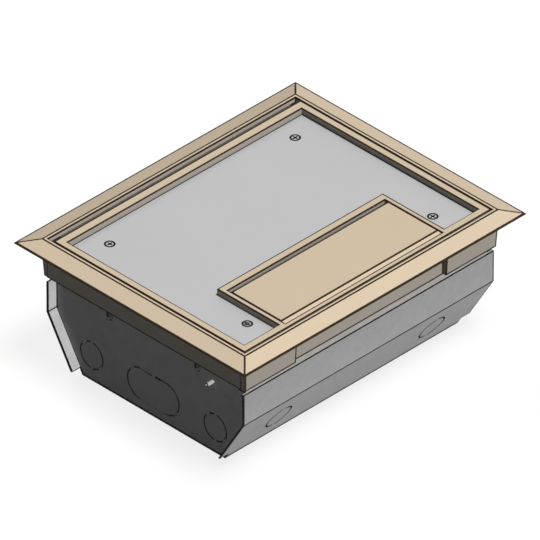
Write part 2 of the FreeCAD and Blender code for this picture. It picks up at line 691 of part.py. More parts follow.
def trim_ring():
    """The cast ring: bezel, skirt, lid ledge, hinge rail and four levelling gussets."""
    ring = joined([bezel(), skirt()])
    pad_x = SKIRT_X - CORNER_PAD_LENGTH
    tools = [
        block(-OPEN_X, OPEN_X, -RAIL_Y, RAIL_Y, 0, TOP + PAST),
        block(-OPEN_X, OPEN_X, -OPEN_Y, 0, LEDGE_TOP, TOP + PAST),
        block(-OPEN_X, OPEN_X, 0, OPEN_Y, TOP - RAIL_DROP, TOP + PAST),
    ]
    for side in SIDES:
        low, high = sorted((side * SIDE_SKIRT_Y, side * (SKIRT_Y + PAST)))
        tools.append(block(-pad_x, pad_x, low, high, 0, BAND_BREAK_Z))
    ring = ring.cut(tools)
    inner_x = OPEN_X - LEDGE_WIDTH
    inner_y = OPEN_Y - LEDGE_WIDTH
    ledge = block(-OPEN_X - PAST, OPEN_X + PAST, -OPEN_Y - PAST, RAIL_Y, LEDGE_BOTTOM, LEDGE_TOP)
    ledge = ledge.cut(block(-inner_x, inner_x, -inner_y, RAIL_Y + PAST, 0, TOP))
    pieces = [ring, ledge]
    near_x = LEVEL_X - GUSSET_REACH
    near_y = LEVEL_Y - GUSSET_REACH
    for a, b in CORNERS:
        points = [(OPEN_X + PAST, near_y), (near_x + GUSSET_CORNER, near_y),
                  (near_x, near_y + GUSSET_CORNER), (near_x, RAIL_Y + PAST),
                  (OPEN_X + PAST, RAIL_Y + PAST)]
        points = [(a * x, b * y) for x, y in points]
        pieces.append(prism_along_z(points, GUSSET_BOTTOM, LEDGE_BOTTOM))
    ring = joined(pieces)
    holes = at_corners(rod(Vector(0, 0, 0), Vector(0, 0, 1),
                           LEVEL_SCREW_DIAMETER / 2 + HOLE_CLEARANCE, TOP), 0)
    tool = countersink(M3_RADIUS, M3_HEAD_RADIUS, TRIM_LEAF_SCREW_LENGTH + HOLE_CLEARANCE)
    for x in spread(LID_LEAF_SCREWS, LID_LEAF_SCREW_PITCH):
        spot = Vector(x, RAIL_Y - LID_LEAF, TRIM_SCREW_Z)
        holes.append(stand(tool, spot, Vector(0, -1, 0)))
    return cut_all(ring, holes)


def lid_seal():
    """A flat strip on the ledge, round the front and both ends."""
    outer_x = OPEN_X - LID_GAP
    outer_y = OPEN_Y - LID_GAP
    strip = block(-outer_x, outer_x, -outer_y, LID_BACK_Y, LEDGE_TOP, LID_BOTTOM)
    inner_x = outer_x - SEAL_WIDTH
    inner_y = outer_y - SEAL_WIDTH
    return strip.cut(block(-inner_x, inner_x, -inner_y, RAIL_Y, 0, TOP))


# Hinges, drawn about their own axis along X

def spread(count, pitch):
    """Places in a row with a pitch, centred on zero."""
    return [(index - (count - 1) / 2) * pitch for index in range(count)]


def knuckle_spans(count, length):
    """The start and end of each knuckle along the hinge."""
    pitch = length / count
    return [(x - pitch / 2, x + pitch / 2) for x in spread(count, pitch)]


def hinge_leaf(section, moving, count, length, radius, play, pin_radius):
    """A leaf of the given section with every second knuckle, cleared for the other leaf."""
    leaf = prism_along_x(section, -length / 2, length / 2)
    along = Vector(1, 0, 0)
    own = []
    other = []
    for index, (low, high) in enumerate(knuckle_spans(count, length)):
        if (index % 2 == 0) == moving:
            inset = KNUCKLE_GAP / 2
            start = Vector(low + inset, 0, 0)
            own.append(rod(start, along, radius, high - low - KNUCKLE_GAP))
        else:
            start = Vector(low - KNUCKLE_GAP / 2, 0, 0)
            other.append(rod(start, along, radius + play, high - low + KNUCKLE_GAP))
    bore = rod(Vector(-length, 0, 0), along, pin_radius + PIN_CLEARANCE, 2 * length)
    return cut_all(joined([leaf.cut(other)] + own), [bore])


def moving_section(reach, leaf, drop, foot):
    """An angle: down from the axis, then under the panel that it carries."""
    face = -reach
    return [(face, 0), (face, leaf - drop), (-foot, leaf - drop), (-foot, -drop),
            (face + leaf, -drop), (face + leaf, 0)]


def fixed_section(reach, leaf, drop):
    """A flat strip down from the axis on the rail's face."""
    return [(reach - leaf, 0), (reach - leaf, -drop), (reach, -drop), (reach, 0)]


def lid_hinge_leaf(moving):
    """The lid hinge's leaf on the lid, or the one on the trim ring's rail."""
    if moving:
        section = moving_section(LID_HINGE_REACH, LID_LEAF, LID_FOOT_DROP, LID_LEAF_FOOT)
    else:
        section = fixed_section(LID_HINGE_REACH, LID_LEAF, LID_FIXED_LEAF)
    leaf = hinge_leaf(section, moving, LID_KNUCKLES, LID_HINGE_LENGTH,
                      LID_KNUCKLE_RADIUS, LID_HINGE_PLAY, LID_PIN_RADIUS)
    leaf.translate(Vector(0, LID_AXIS_Y, LID_AXIS_Z))
    tool = countersink(M3_RADIUS, M3_HEAD_RADIUS, LID_LEAF + PAST)
    tools = []
    for x in spread(LID_LEAF_SCREWS, LID_LEAF_SCREW_PITCH):
        if moving:
            tools.append(stand(tool, Vector(x, LID_SCREW_Y, LID_BOTTOM - LID_LEAF), Vector(0, 0, -1)))
        else:
            tools.append(stand(tool, Vector(x, RAIL_Y - LID_LEAF, TRIM_SCREW_Z), Vector(0, -1, 0)))
    return cut_all(leaf, tools)


def flap_hinge_leaf(moving):
    """The flap hinge's leaf on the flap, or the one in the lid's window."""
    if moving:
        section = moving_section(FLAP_HINGE_REACH, FLAP_LEAF, FLAP_FOOT_DROP, FLAP_LEAF_FOOT)
    else:
        section = fixed_section(FLAP_HINGE_REACH, FLAP_LEAF, FLAP_FIXED_LEAF)
    leaf = hinge_leaf(section, moving, FLAP_KNUCKLES, FLAP_HINGE_LENGTH,
                      FLAP_KNUCKLE_RADIUS, FLAP_HINGE_PLAY, FLAP_PIN_RADIUS)
    leaf.translate(Vector(0, FLAP_AXIS_Y, FLAP_AXIS_Z))
    tool = countersink(M25_RADIUS, M25_HEAD_RADIUS, FLAP_LEAF + PAST)
    tools = []
    for x in spread(FLAP_LEAF_SCREWS, FLAP_LEAF_SCREW_PITCH):
        if moving:
            spot = Vector(x, FLAP_SCREW_Y, FLAP_BOTTOM - FLAP_LEAF)
            tools.append(stand(tool, spot, Vector(0, 0, -1)))
        else:
            spot = Vector(x, FLAP_RAIL_Y - FLAP_LEAF, FRAME_SCREW_Z)
            tools.append(stand(tool, spot, Vector(0, -1, 0)))
    return cut_all(leaf, tools)


def hinge_pin(y, z, radius, length):
    """A plain pin through all knuckles."""
    return rod(Vector(-length / 2, y, z), Vector(1, 0, 0), radius, length)


def leaf_screws(count, pitch, radius, head_radius, length, y, z, direction):
    """The row of screws in one hinge leaf."""
    screw = countersunk_screw(radius, head_radius, length)
    return [stand(screw, Vector(x, y, z), direction) for x in spread(count, pitch)]


# Lid

def lid_frame():
    """The cast lid frame: rim, plate ledge, and the bars round the flap's window."""
    body = block(-LID_X, LID_X, LID_FRONT_Y, LID_BACK_Y, LID_BOTTOM, TOP)
    recess = block(-RECESS_X, RECESS_X, RECESS_FRONT_Y, RECESS_BACK_Y, PLATE_BOTTOM, TOP + PAST)
    ledge_x = RECESS_X - LID_LEDGE_WIDTH
    ledge_front = RECESS_FRONT_Y + LID_LEDGE_WIDTH
    ledge_back = RECESS_BACK_Y - LID_LEDGE_WIDTH
    open_middle = block(-ledge_x, ledge_x, ledge_front, ledge_back, 0, TOP + PAST)
    frame = body.cut([recess, open_middle])
    bars = block(-BAR_X, BAR_X, RECESS_FRONT_Y - PAST, BAR_BACK_Y, LID_BOTTOM, TOP)
    foot_x = BAR_X + WINDOW_FOOT
    foot_y = BAR_BACK_Y + WINDOW_FOOT
    foot = block(-foot_x, foot_x, RECESS_FRONT_Y - PAST, foot_y, LID_BOTTOM, PLATE_BOTTOM)
    frame = joined([frame, bars, foot])
    narrow_x = WINDOW_X - FLAP_LEDGE_WIDTH
    narrow_y = WINDOW_FRONT_Y + FLAP_LEDGE_WIDTH
    tools = [
        block(-WINDOW_X, WINDOW_X, WINDOW_FRONT_Y, FLAP_RAIL_Y, FLAP_LEDGE_TOP, TOP + PAST),
        block(-WINDOW_X, WINDOW_X, FLAP_RAIL_Y - PAST, WINDOW_BACK_Y, TOP - FLAP_RAIL_DROP,
              TOP + PAST),
        block(-narrow_x, narrow_x, narrow_y, FLAP_RAIL_Y, 0, TOP + PAST),
    ]
    tool = countersink(M3_RADIUS, M3_HEAD_RADIUS, LID_LEAF_SCREW_LENGTH + HOLE_CLEARANCE)
    for x in spread(LID_LEAF_SCREWS, LID_LEAF_SCREW_PITCH):
        tools.append(stand(tool, Vector(x, LID_SCREW_Y, LID_BOTTOM - LID_LEAF), Vector(0, 0, -1)))
    tool = countersink(M25_RADIUS, M25_HEAD_RADIUS, FRAME_LEAF_SCREW_LENGTH + HOLE_CLEARANCE)
    for x in spread(FLAP_LEAF_SCREWS, FLAP_LEAF_SCREW_PITCH):
        spot = Vector(x, FLAP_RAIL_Y - FLAP_LEAF, FRAME_SCREW_Z)
        tools.append(stand(tool, spot, Vector(0, -1, 0)))
    return cut_all(frame, tools)


def plate_screw_spots():
    """The four screw places on the lid plate."""
    return [(a * PLATE_SCREW_X, y) for a in SIDES for y in (PLATE_SCREW_FRONT_Y, PLATE_SCREW_BACK_Y)]


def lid_plate():
    """The steel plate in the recess, cut out round the window bars."""
    gap = PLATE_CLEARANCE
    plate = block(-RECESS_X + gap, RECESS_X - gap, RECESS_FRONT_Y + gap, RECESS_BACK_Y - gap,
                  PLATE_BOTTOM, PLATE_TOP)
    tools = [block(-BAR_X - gap, BAR_X + gap, LID_FRONT_Y, BAR_BACK_Y + gap, 0, TOP)]
    tool = countersink(PLATE_SCREW_DIAMETER / 2, PLATE_SCREW_HEAD / 2, PLATE_SCREW_LENGTH)
    for x, y in plate_screw_spots():
        tools.append(stand(tool, Vector(x, y, PLATE_TOP), Vector(0, 0, 1)))
    return cut_all(plate, tools)


def lid_stiffeners():
    """Two steel channels under the plate, on the line of its screws."""
    channels = []
    half = STIFFENER_WIDTH / 2
    low = PLATE_BOTTOM - STIFFENER_HEIGHT
    for a in SIDES:
        x = a * PLATE_SCREW_X
        path = [(x - half, low), (x - half, PLATE_BOTTOM), (x + half, PLATE_BOTTOM), (x + half, low)]
        section = sheet_section(path, -STIFFENER_SHEET)
        channel = prism_along_y(section, PLATE_SCREW_FRONT_Y - STIFFENER_END,
                                PLATE_SCREW_BACK_Y + STIFFENER_END)
        holes = []
        for y in (PLATE_SCREW_FRONT_Y, PLATE_SCREW_BACK_Y):
            holes.append(rod(Vector(x, y, low), Vector(0, 0, 1),
                             PLATE_SCREW_DIAMETER / 2 + HOLE_CLEARANCE, STIFFENER_HEIGHT + PAST))
        channels.append(channel.cut(holes))
    return channels


def lid_plate_screws():
    """Countersunk screws that hold the plate to the stiffeners."""
    screw = countersunk_screw(PLATE_SCREW_DIAMETER / 2, PLATE_SCREW_HEAD / 2, PLATE_SCREW_LENGTH)
    return [stand(screw, Vector(x, y, PLATE_TOP), Vector(0, 0, 1)) for x, y in plate_screw_spots()]


def lid_plate_nuts():
    """Nuts on those screws, under the stiffeners' webs."""
    nut = hex_nut(M5_NUT_FLATS, M5_NUT_HEIGHT, PLATE_SCREW_DIAMETER / 2)
    height = PLATE_BOTTOM - STIFFENER_SHEET - M5_NUT_HEIGHT
    return [stand(nut, Vector(x, y, height), Vector(0, 0, 1)) for x, y in plate_screw_spots()]


def flap_seal():
    """A thin strip on the window's ledge, round the front and both ends."""
    gap = PLATE_CLEARANCE
    strip = block(-WINDOW_X + gap, WINDOW_X - gap, WINDOW_FRONT_Y + gap, FLAP_SEAL_BACK_Y,
                  FLAP_LEDGE_TOP, FLAP_BOTTOM)
    inner_x = WINDOW_X - FLAP_LEDGE_WIDTH
    inner_y = WINDOW_FRONT_Y + FLAP_LEDGE_WIDTH
    return strip.cut(block(-inner_x, inner_x, inner_y, FLAP_RAIL_Y, 0, TOP))


def flap_plate():
    """The flap, with a sloping front edge."""
    section = [(FLAP_FRONT_Y, FLAP_BOTTOM), (FLAP_BACK_Y, FLAP_BOTTOM), (FLAP_BACK_Y, TOP),
               (FLAP_FRONT_Y + FLAP_BEVEL_RUN, TOP), (FLAP_FRONT_Y, TOP - FLAP_BEVEL_DROP)]
    flap = prism_along_x(section, -FLAP_X, FLAP_X)
    tool = countersink(M25_RADIUS, M25_HEAD_RADIUS, FLAP_LEAF_SCREW_LENGTH + THREAD_CLEARANCE)
    tools = []
    for x in spread(FLAP_LEAF_SCREWS, FLAP_LEAF_SCREW_PITCH):
        spot = Vector(x, FLAP_SCREW_Y, FLAP_BOTTOM - FLAP_LEAF)
        tools.append(stand(tool, spot, Vector(0, 0, -1)))
    return cut_all(flap, tools)


# Devices, drawn with the panel's front at the origin, +X along the panel, +Y up, +Z out of it

def on_panel(shape, side, y):
    """Put a device's piece on the panel of the -X or the +X compartment."""
    outward = Vector(-side, 0, 0)
    up = Vector(0, 0, 1)
    turn = FreeCAD.Rotation(up.cross(outward), up, outward, "ZXY")
    place = FreeCAD.Placement(Vector(side * PANEL_FRONT, y, DEVICE_HEIGHT), turn)
    placed = shape.copy()
    placed.Placement = place.multiply(shape.Placement)
    return placed


def socket_outline(extra):
    """The flat-topped round face of one outlet, grown by an extra."""
    radius = SOCKET_FACE_RADIUS + extra
    half = SOCKET_FACE_HALF + extra
    back = -SHEET - PAST
    disc = rod(Vector(0, 0, back), Vector(0, 0, 1), radius, SOCKET_PROUD - back)
    return disc.common(block(-radius, radius, -half, half, back, SOCKET_PROUD))


def socket_face():
    """The front moulding of a duplex outlet: two faces on one slab, with their slots."""
    back = -SHEET - SOCKET_SLAB
    half_x = SOCKET_SLAB_LENGTH / 2
    half_y = SOCKET_SLAB_WIDTH / 2
    pieces = [block(-half_x, half_x, -half_y, half_y, back, -SHEET)]
    slots = []
    bottom = SOCKET_PROUD - SLOT_DEPTH
    for x in spread(2, SOCKET_PITCH):
        face = socket_outline(0)
        face.translate(Vector(x, 0, 0))
        pieces.append(face)
        for end in SIDES:
            blade_x = x + end * BLADE_STAGGER
            low = end * BLADE_PITCH / 2 - BLADE_SLOT_WIDTH / 2
            slots.append(block(blade_x - BLADE_SLOT_LENGTH / 2, blade_x + BLADE_SLOT_LENGTH / 2,
                               low, low + BLADE_SLOT_WIDTH, bottom, SOCKET_PROUD + PAST))
        slots.append(rod(Vector(x - EARTH_SLOT_DROP - EARTH_SLOT_DIAMETER / 2, 0, bottom),
                         Vector(0, 0, 1), EARTH_SLOT_DIAMETER / 2, SLOT_DEPTH + PAST))
    return cut_all(joined(pieces), slots)


def socket_strap():
    """The steel strap: ears on the back of the panel, joggled behind the face."""
    ear = -SHEET - STRAP_SHEET
    inner = SOCKET_SLAB_LENGTH / 2 + FACE_CLEARANCE
    half = STRAP_LENGTH / 2
    path = [(-half, ear), (-inner - STRAP_SHEET, ear), (-inner - STRAP_SHEET, STRAP_BACK),
            (inner + STRAP_SHEET, STRAP_BACK), (inner + STRAP_SHEET, ear), (half, ear)]
    strap = prism_along_y(sheet_section(path, STRAP_SHEET), -STRAP_WIDTH / 2, STRAP_WIDTH / 2)
    holes = []
    for x in spread(2, DEVICE_SCREW_PITCH):
        holes.append(rod(Vector(x, 0, STRAP_BACK), Vector(0, 0, 1),
                         DEVICE_SCREW_RADIUS + THREAD_CLEARANCE, -STRAP_BACK))
    return strap.cut(holes)


def socket_body():
    """The rear body of a duplex outlet, behind its strap."""
    half_x = SOCKET_SLAB_LENGTH / 2
    half_y = SOCKET_SLAB_WIDTH / 2
    return block(-half_x, half_x, -half_y, half_y, STRAP_BACK - SOCKET_BODY_DEPTH, STRAP_BACK)


def terminal_screws():
    """Wire terminals on both long sides of a rear body."""
    screws = []
    for side in SIDES:
        for x in spread(2, SOCKET_PITCH):
            start = Vector(x, side * SOCKET_SLAB_WIDTH / 2, STRAP_BACK - SOCKET_BODY_DEPTH / 2)
            head = rod(start, Vector(0, side, 0), TERMINAL_RADIUS, TERMINAL_PROUD)
            mouth = side * (SOCKET_SLAB_WIDTH / 2 + TERMINAL_PROUD)
            low, high = sorted((mouth, mouth - side * TERMINAL_SLOT_DEPTH))
            slot = block(x - TERMINAL_SLOT_WIDTH / 2, x + TERMINAL_SLOT_WIDTH / 2, low, high,
                         start.z - TERMINAL_RADIUS, start.z + TERMINAL_RADIUS)
            screws.append(head.cut(slot))
    return screws


def device_screws(front):
    """The two countersunk screws of one device, flush with the given front."""
    screw = countersunk_screw(DEVICE_SCREW_RADIUS, DEVICE_SCREW_HEAD, DEVICE_SCREW_LENGTH)
    return [stand(screw, Vector(x, 0, front), Vector(0, 0, 1)) for x in spread(2, DEVICE_SCREW_PITCH)]


def device_screw_holes(front):
    """The holes for those screws."""
    tool = countersink(DEVICE_SCREW_RADIUS, DEVICE_SCREW_HEAD, DEVICE_SCREW_LENGTH)
    return [stand(tool, Vector(x, 0, front), Vector(0, 0, 1)) for x in spread(2, DEVICE_SCREW_PITCH)]


def jack_frame():
    """A plastic frame on the panel's front with a sleeve round each data jack."""
    half_x = JACK_FRAME_LENGTH / 2
    half_y = JACK_FRAME_WIDTH / 2
    pieces = [block(-half_x, half_x, -half_y, half_y, 0, JACK_FRAME_THICKNESS)]
    tools = device_screw_holes(JACK_FRAME_THICKNESS)
    for x in spread(2, JACK_PITCH):
        inner_x = JACK_WIDTH / 2 + JACK_CLEARANCE
        inner_y = JACK_HEIGHT / 2 + JACK_CLEARANCE
        outer_x = inner_x + JACK_SLEEVE_WALL
        outer_y = inner_y + JACK_SLEEVE_WALL
        pieces.append(block(x - outer_x, x + outer_x, -outer_y, outer_y, -JACK_SLEEVE_DEPTH, 0))
        tools.append(block(x - inner_x, x + inner_x, -inner_y, inner_y,
                           -JACK_SLEEVE_DEPTH - PAST, JACK_FRAME_THICKNESS + PAST))
    return cut_all(joined(pieces), tools)


def data_jack():
    """One data jack: a block with a stepped mouth for the plug and its latch."""
    front = JACK_FRAME_THICKNESS
    half_x = JACK_WIDTH / 2
    half_y = JACK_HEIGHT / 2
    mouth_low = -JACK_WINDOW_HEIGHT / 2
    tools = [
        block(-JACK_WINDOW_WIDTH / 2, JACK_WINDOW_WIDTH / 2, mouth_low, -mouth_low,
              front - JACK_WINDOW_DEPTH, front + PAST),
        block(-JACK_LATCH_WIDTH / 2, JACK_LATCH_WIDTH / 2, mouth_low - JACK_LATCH_HEIGHT, 0,
              front - JACK_WINDOW_DEPTH, front + PAST),
    ]
    return block(-half_x, half_x, -half_y, half_y, front - JACK_DEPTH, front).cut(tools)


def jack_contacts():
    """The sprung contact wires of one jack, sloping down from the roof of its mouth."""
    wires = []
    roof = JACK_WINDOW_HEIGHT / 2
    back = JACK_FRAME_THICKNESS - JACK_WINDOW_DEPTH
    for x in spread(CONTACT_COUNT, CONTACT_PITCH):
        section = [(roof, back + CONTACT_LENGTH), (roof - CONTACT_WIRE, back + CONTACT_LENGTH),
                   (roof - CONTACT_RISE - CONTACT_WIRE, back), (roof - CONTACT_RISE, back)]
        wires.append(prism_along_x(section, x - CONTACT_WIRE / 2, x + CONTACT_WIRE / 2))
    return wires


def compartment_cover(side, device_tools):
    """A bent cover: front panel with device holes, top, end tab and foot flange."""
    panel = prism_along_x(inside_section(COVER_TOP_HEIGHT, COVER_CLEARANCE), PANEL_FRONT, PANEL_BACK)
    top_low = COVER_TOP_HEIGHT - SHEET
    wide = WALL_IN_Y - COVER_CLEARANCE
    narrow = LEVEL_Y - BRACKET_WIDTH / 2 - COVER_CLEARANCE
    shoulder = LEVEL_X - COVER_NOTCH_CLEARANCE
    end = END_IN - COVER_END_GAP
    outline = [(PANEL_FRONT, -wide), (shoulder, -wide), (shoulder, -narrow), (end, -narrow),
               (end, narrow), (shoulder, narrow), (shoulder, wide), (PANEL_FRONT, wide)]
    foot_y = HALF_BOTTOM - FOOT_END_GAP
    pieces = [
        panel,
        prism_along_z(outline, top_low, COVER_TOP_HEIGHT),
        block(end - PAST, END_IN, -COVER_TAB_HALF, COVER_TAB_HALF, top_low, COVER_TOP_HEIGHT),
        block(END_IN - SHEET, END_IN, -COVER_TAB_HALF, COVER_TAB_HALF, top_low,
              COVER_TOP_HEIGHT + COVER_TAB_RISE),
        block(PANEL_FRONT - FOOT_FLANGE, PANEL_BACK, -foot_y, foot_y, SHEET, SHEET * 2),
    ]
    cover = joined(pieces)
    tools = []
    tool = countersink(M4_RADIUS, M4_HEAD_RADIUS, FOOT_SCREW_LENGTH)
    for y in SIDES:
        spot = Vector(PANEL_FRONT - FOOT_FLANGE / 2, y * FOOT_SCREW_Y, SHEET * 2)
        tools.append(stand(tool, spot, Vector(0, 0, 1)))
        spot = Vector(END_IN - SHEET - PAST, y * NOTCH_PITCH / 2, NOTCH_SCREW_Z)
        tools.append(rod(spot, Vector(1, 0, 0), M4_RADIUS + THREAD_CLEARANCE, SHEET + 2 * PAST))
    cover = cut_all(cover, tools)
    if side < 0:
        cover = cover.mirror(Vector(0, 0, 0), Vector(1, 0, 0))
    return cut_all(cover, device_tools)


def power_cover():
    """The cover of the -X compartment, with the outlets' face holes."""
    tools = []
    for y in spread(DEVICE_COUNT, DEVICE_PITCH):
        for x in spread(2, SOCKET_PITCH):
            face = socket_outline(FACE_CLEARANCE)
            face.translate(Vector(x, 0, 0))
            tools.append(on_panel(face, -1, y))
        for hole in device_screw_holes(0):
            tools.append(on_panel(hole, -1, y))
    return compartment_cover(-1, tools)


def data_cover():
    """The cover of the +X compartment, with the jack frames' holes."""
    tools = []
    for y in spread(DEVICE_COUNT, DEVICE_PITCH):
        half_x = JACK_PITCH / 2 + JACK_WIDTH / 2 + JACK_CLEARANCE + JACK_SLEEVE_WALL + FACE_CLEARANCE
        half_y = JACK_HEIGHT / 2 + JACK_CLEARANCE + JACK_SLEEVE_WALL + FACE_CLEARANCE
        window = block(-half_x, half_x, -half_y, half_y, -SHEET - PAST, PAST)
        tools.append(on_panel(window, 1, y))
        for hole in device_screw_holes(JACK_FRAME_THICKNESS):
            tools.append(on_panel(hole, 1, y))
    return compartment_cover(1, tools)


def on_both_devices(shapes, side):
    """Copies of some shapes at both device places of one compartment."""
    return [on_panel(shape, side, y) for y in spread(DEVICE_COUNT, DEVICE_PITCH) for shape in shapes]


def at_jacks(shapes):
    """Copies of some shapes at every data jack."""
    placed = []
    for x in spread(2, JACK_PITCH):
        for shape in shapes:
            moved = shape.copy()
            moved.translate(Vector(x, 0, 0))
            placed.append(moved)
    return on_both_devices(placed, 1)


def cover_locating_screws():
    """Pan-head screws through the covers' end tabs, with their tips in the notches."""
    length = SHEET * 2 + NOTCH_SCREW_OUT
    screw = pan_screw(M4_RADIUS, M4_HEAD_RADIUS, M4_HEAD_HEIGHT, length)
    screws = []
    for a, b in CORNERS:
        spot = Vector(a * (END_IN - SHEET), b * NOTCH_PITCH / 2, NOTCH_SCREW_Z)
        screws.append(stand(screw, spot, Vector(-a, 0, 0)))
    return screws


def cover_foot_screws():
    """Countersunk screws through the covers' foot flanges into the box bottom."""
    length = SHEET * 2 - THREAD_CLEARANCE
    screw = countersunk_screw(M4_RADIUS, M4_HEAD_RADIUS, length)
    screws = []
    for a, b in CORNERS:
        spot = Vector(a * (PANEL_FRONT - FOOT_FLANGE / 2), b * FOOT_SCREW_Y, SHEET * 2)
        screws.append(stand(screw, spot, Vector(0, 0, 1)))
    return screws


def earth_screw():
    """The hexagon-head earth screw through the -X end plate, its shank end outside."""
    head = hex_block(EARTH_HEAD_FLATS, EARTH_HEAD_HEIGHT)
    length = SHEET + EARTH_SCREW_OUT
    shank = rod(Vector(0, 0, -length), Vector(0, 0, 1), M4_RADIUS, length + PAST)
    tip = [edge for edge in shank.Edges if edge.BoundBox.ZMax < -length / 2]
    shank = shank.makeChamfer(EARTH_TIP_CHAMFER, tip)
    screw = joined([head, shank])
    return stand(screw, Vector(-END_IN, EARTH_SCREW_Y, EARTH_SCREW_HEIGHT), Vector(1, 0, 0))


os.makedirs("parts", exist_ok=True)

save("box_shell", box_shell())
save("end_plate_left", end_plate(-1))
save("end_plate_right", end_plate(1))
save("corner_brackets", corner_brackets())
save("bracket_weld_nuts", bracket_nuts())
save("levelling_screws", levelling_screws())
save("lock_nuts", lock_nuts())
save("earth_screw", earth_screw())
save("trim_ring", trim_ring())
save("lid_seal", lid_seal())
save("lid_hinge_trim_leaf", lid_hinge_leaf(False))
save("trim_leaf_screws", leaf_screws(LID_LEAF_SCREWS, LID_LEAF_SCREW_PITCH, M3_RADIUS, M3_HEAD_RADIUS,
                                     TRIM_LEAF_SCREW_LENGTH, RAIL_Y - LID_LEAF, TRIM_SCREW_Z,
                                     Vector(0, -1, 0)))
save("lid_hinge_pin", hinge_pin(LID_AXIS_Y, LID_AXIS_Z, LID_PIN_RADIUS, LID_HINGE_LENGTH))
save("power_cover", power_cover())
save("data_cover", data_cover())
save("cover_locating_screws", cover_locating_screws())
save("cover_foot_screws", cover_foot_screws())
save("socket_faces", on_both_devices([socket_face()], -1))
save("socket_straps", on_both_devices([socket_strap()], -1))
save("socket_bodies", on_both_devices([socket_body()], -1))
save("socket_terminal_screws", on_both_devices(terminal_screws(), -1))
save("socket_fixing_screws", on_both_devices(device_screws(0), -1))
save("jack_frames", on_both_devices([jack_frame()], 1))
save("data_jacks", at_jacks([data_jack()]))
save("jack_contacts", at_jacks(jack_contacts()))
save("jack_frame_screws", on_both_devices(device_screws(JACK_FRAME_THICKNESS), 1))
save("lid_frame", lid_frame())
save("lid_plate", lid_plate())
save("lid_stiffeners", lid_stiffeners())
save("lid_plate_screws", lid_plate_screws())
save("lid_plate_nuts", lid_plate_nuts())
save("lid_hinge_lid_leaf", lid_hinge_leaf(True))
save("lid_leaf_screws", leaf_screws(LID_LEAF_SCREWS, LID_LEAF_SCREW_PITCH, M3_RADIUS, M3_HEAD_RADIUS,
                                    LID_LEAF_SCREW_LENGTH, LID_SCREW_Y, LID_BOTTOM - LID_LEAF,
                                    Vector(0, 0, -1)))
save("flap_seal", flap_seal())
save("flap_hinge_frame_leaf", flap_hinge_leaf(False))
save("frame_leaf_screws", leaf_screws(FLAP_LEAF_SCREWS, FLAP_LEAF_SCREW_PITCH, M25_RADIUS,
                                      M25_HEAD_RADIUS, FRAME_LEAF_SCREW_LENGTH,
                                      FLAP_RAIL_Y - FLAP_LEAF, FRAME_SCREW_Z, Vector(0, -1, 0)))
save("flap_hinge_pin", hinge_pin(FLAP_AXIS_Y, FLAP_AXIS_Z, FLAP_PIN_RADIUS, FLAP_HINGE_LENGTH))
save("flap_plate", flap_plate())
save("flap_hinge_flap_leaf", flap_hinge_leaf(True))
save("flap_leaf_screws", leaf_screws(FLAP_LEAF_SCREWS, FLAP_LEAF_SCREW_PITCH, M25_RADIUS,
                                     M25_HEAD_RADIUS, FLAP_LEAF_SCREW_LENGTH, FLAP_SCREW_Y,
                                     FLAP_BOTTOM - FLAP_LEAF, Vector(0, 0, -1)))
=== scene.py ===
"""Dresses the floor socket box: castings, sheet steel box, hinges, outlets and jacks."""

import json
import math
from collections import namedtuple

import bmesh
import bpy
from bpy.props import FloatProperty, FloatVectorProperty, PointerProperty
from mathutils import Matrix, Vector


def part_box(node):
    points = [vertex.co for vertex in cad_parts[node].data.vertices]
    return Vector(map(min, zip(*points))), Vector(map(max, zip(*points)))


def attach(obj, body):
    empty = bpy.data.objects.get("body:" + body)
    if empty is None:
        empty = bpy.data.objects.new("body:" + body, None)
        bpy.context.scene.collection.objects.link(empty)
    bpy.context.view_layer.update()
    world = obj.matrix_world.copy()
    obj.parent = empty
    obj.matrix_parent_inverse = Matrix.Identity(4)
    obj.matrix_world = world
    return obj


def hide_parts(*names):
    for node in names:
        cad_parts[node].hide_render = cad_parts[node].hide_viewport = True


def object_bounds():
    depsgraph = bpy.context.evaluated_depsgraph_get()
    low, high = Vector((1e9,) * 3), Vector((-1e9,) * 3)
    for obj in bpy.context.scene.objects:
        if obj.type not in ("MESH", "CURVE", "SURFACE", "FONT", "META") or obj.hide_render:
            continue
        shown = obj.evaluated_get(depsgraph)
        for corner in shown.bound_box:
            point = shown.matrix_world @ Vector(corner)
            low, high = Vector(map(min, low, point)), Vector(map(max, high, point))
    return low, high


bl_info = {
    "name": "Floor socket box",
    "version": (1, 0, 0),
    "blender": (4, 5, 0),
    "location": "View3D > Sidebar > Floor box",
    "description": "Finishes, edges, lamps and camera of a floor socket box",
    "category": "Object",
}

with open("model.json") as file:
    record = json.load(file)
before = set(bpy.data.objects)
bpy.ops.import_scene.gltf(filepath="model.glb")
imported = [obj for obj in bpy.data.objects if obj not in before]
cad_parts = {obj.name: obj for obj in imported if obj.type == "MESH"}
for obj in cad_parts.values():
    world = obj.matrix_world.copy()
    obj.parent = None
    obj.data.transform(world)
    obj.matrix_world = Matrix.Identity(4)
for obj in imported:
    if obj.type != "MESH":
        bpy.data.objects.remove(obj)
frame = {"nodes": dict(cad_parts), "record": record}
CAD_LOW, CAD_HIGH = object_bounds()

SLOT_OF = {row["node"]: row["material_slot"] for row in frame["record"]["subparts"]}
BODY_OF = {node: body for body, nodes in frame["record"]["behaviour"]["bodies"].items()
           for node in nodes}

# Heights read from the frame
FLOOR_LEVEL = next(mount["pos_m"][2] for mount in frame["record"]["mounts"]
                   if mount["name"] == "bezel_underside")
PLATE_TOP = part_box("lid_plate")[1].z

# Places of a piece's finishes: its own, that of the drawn lines, that of faces set apart, which
# holds painted shade on the castings and painted light on the box's top flanges, and that of inner
# faces, which holds painted light
MAIN = 0
LINE = 1
APART = 2
INNER = 3
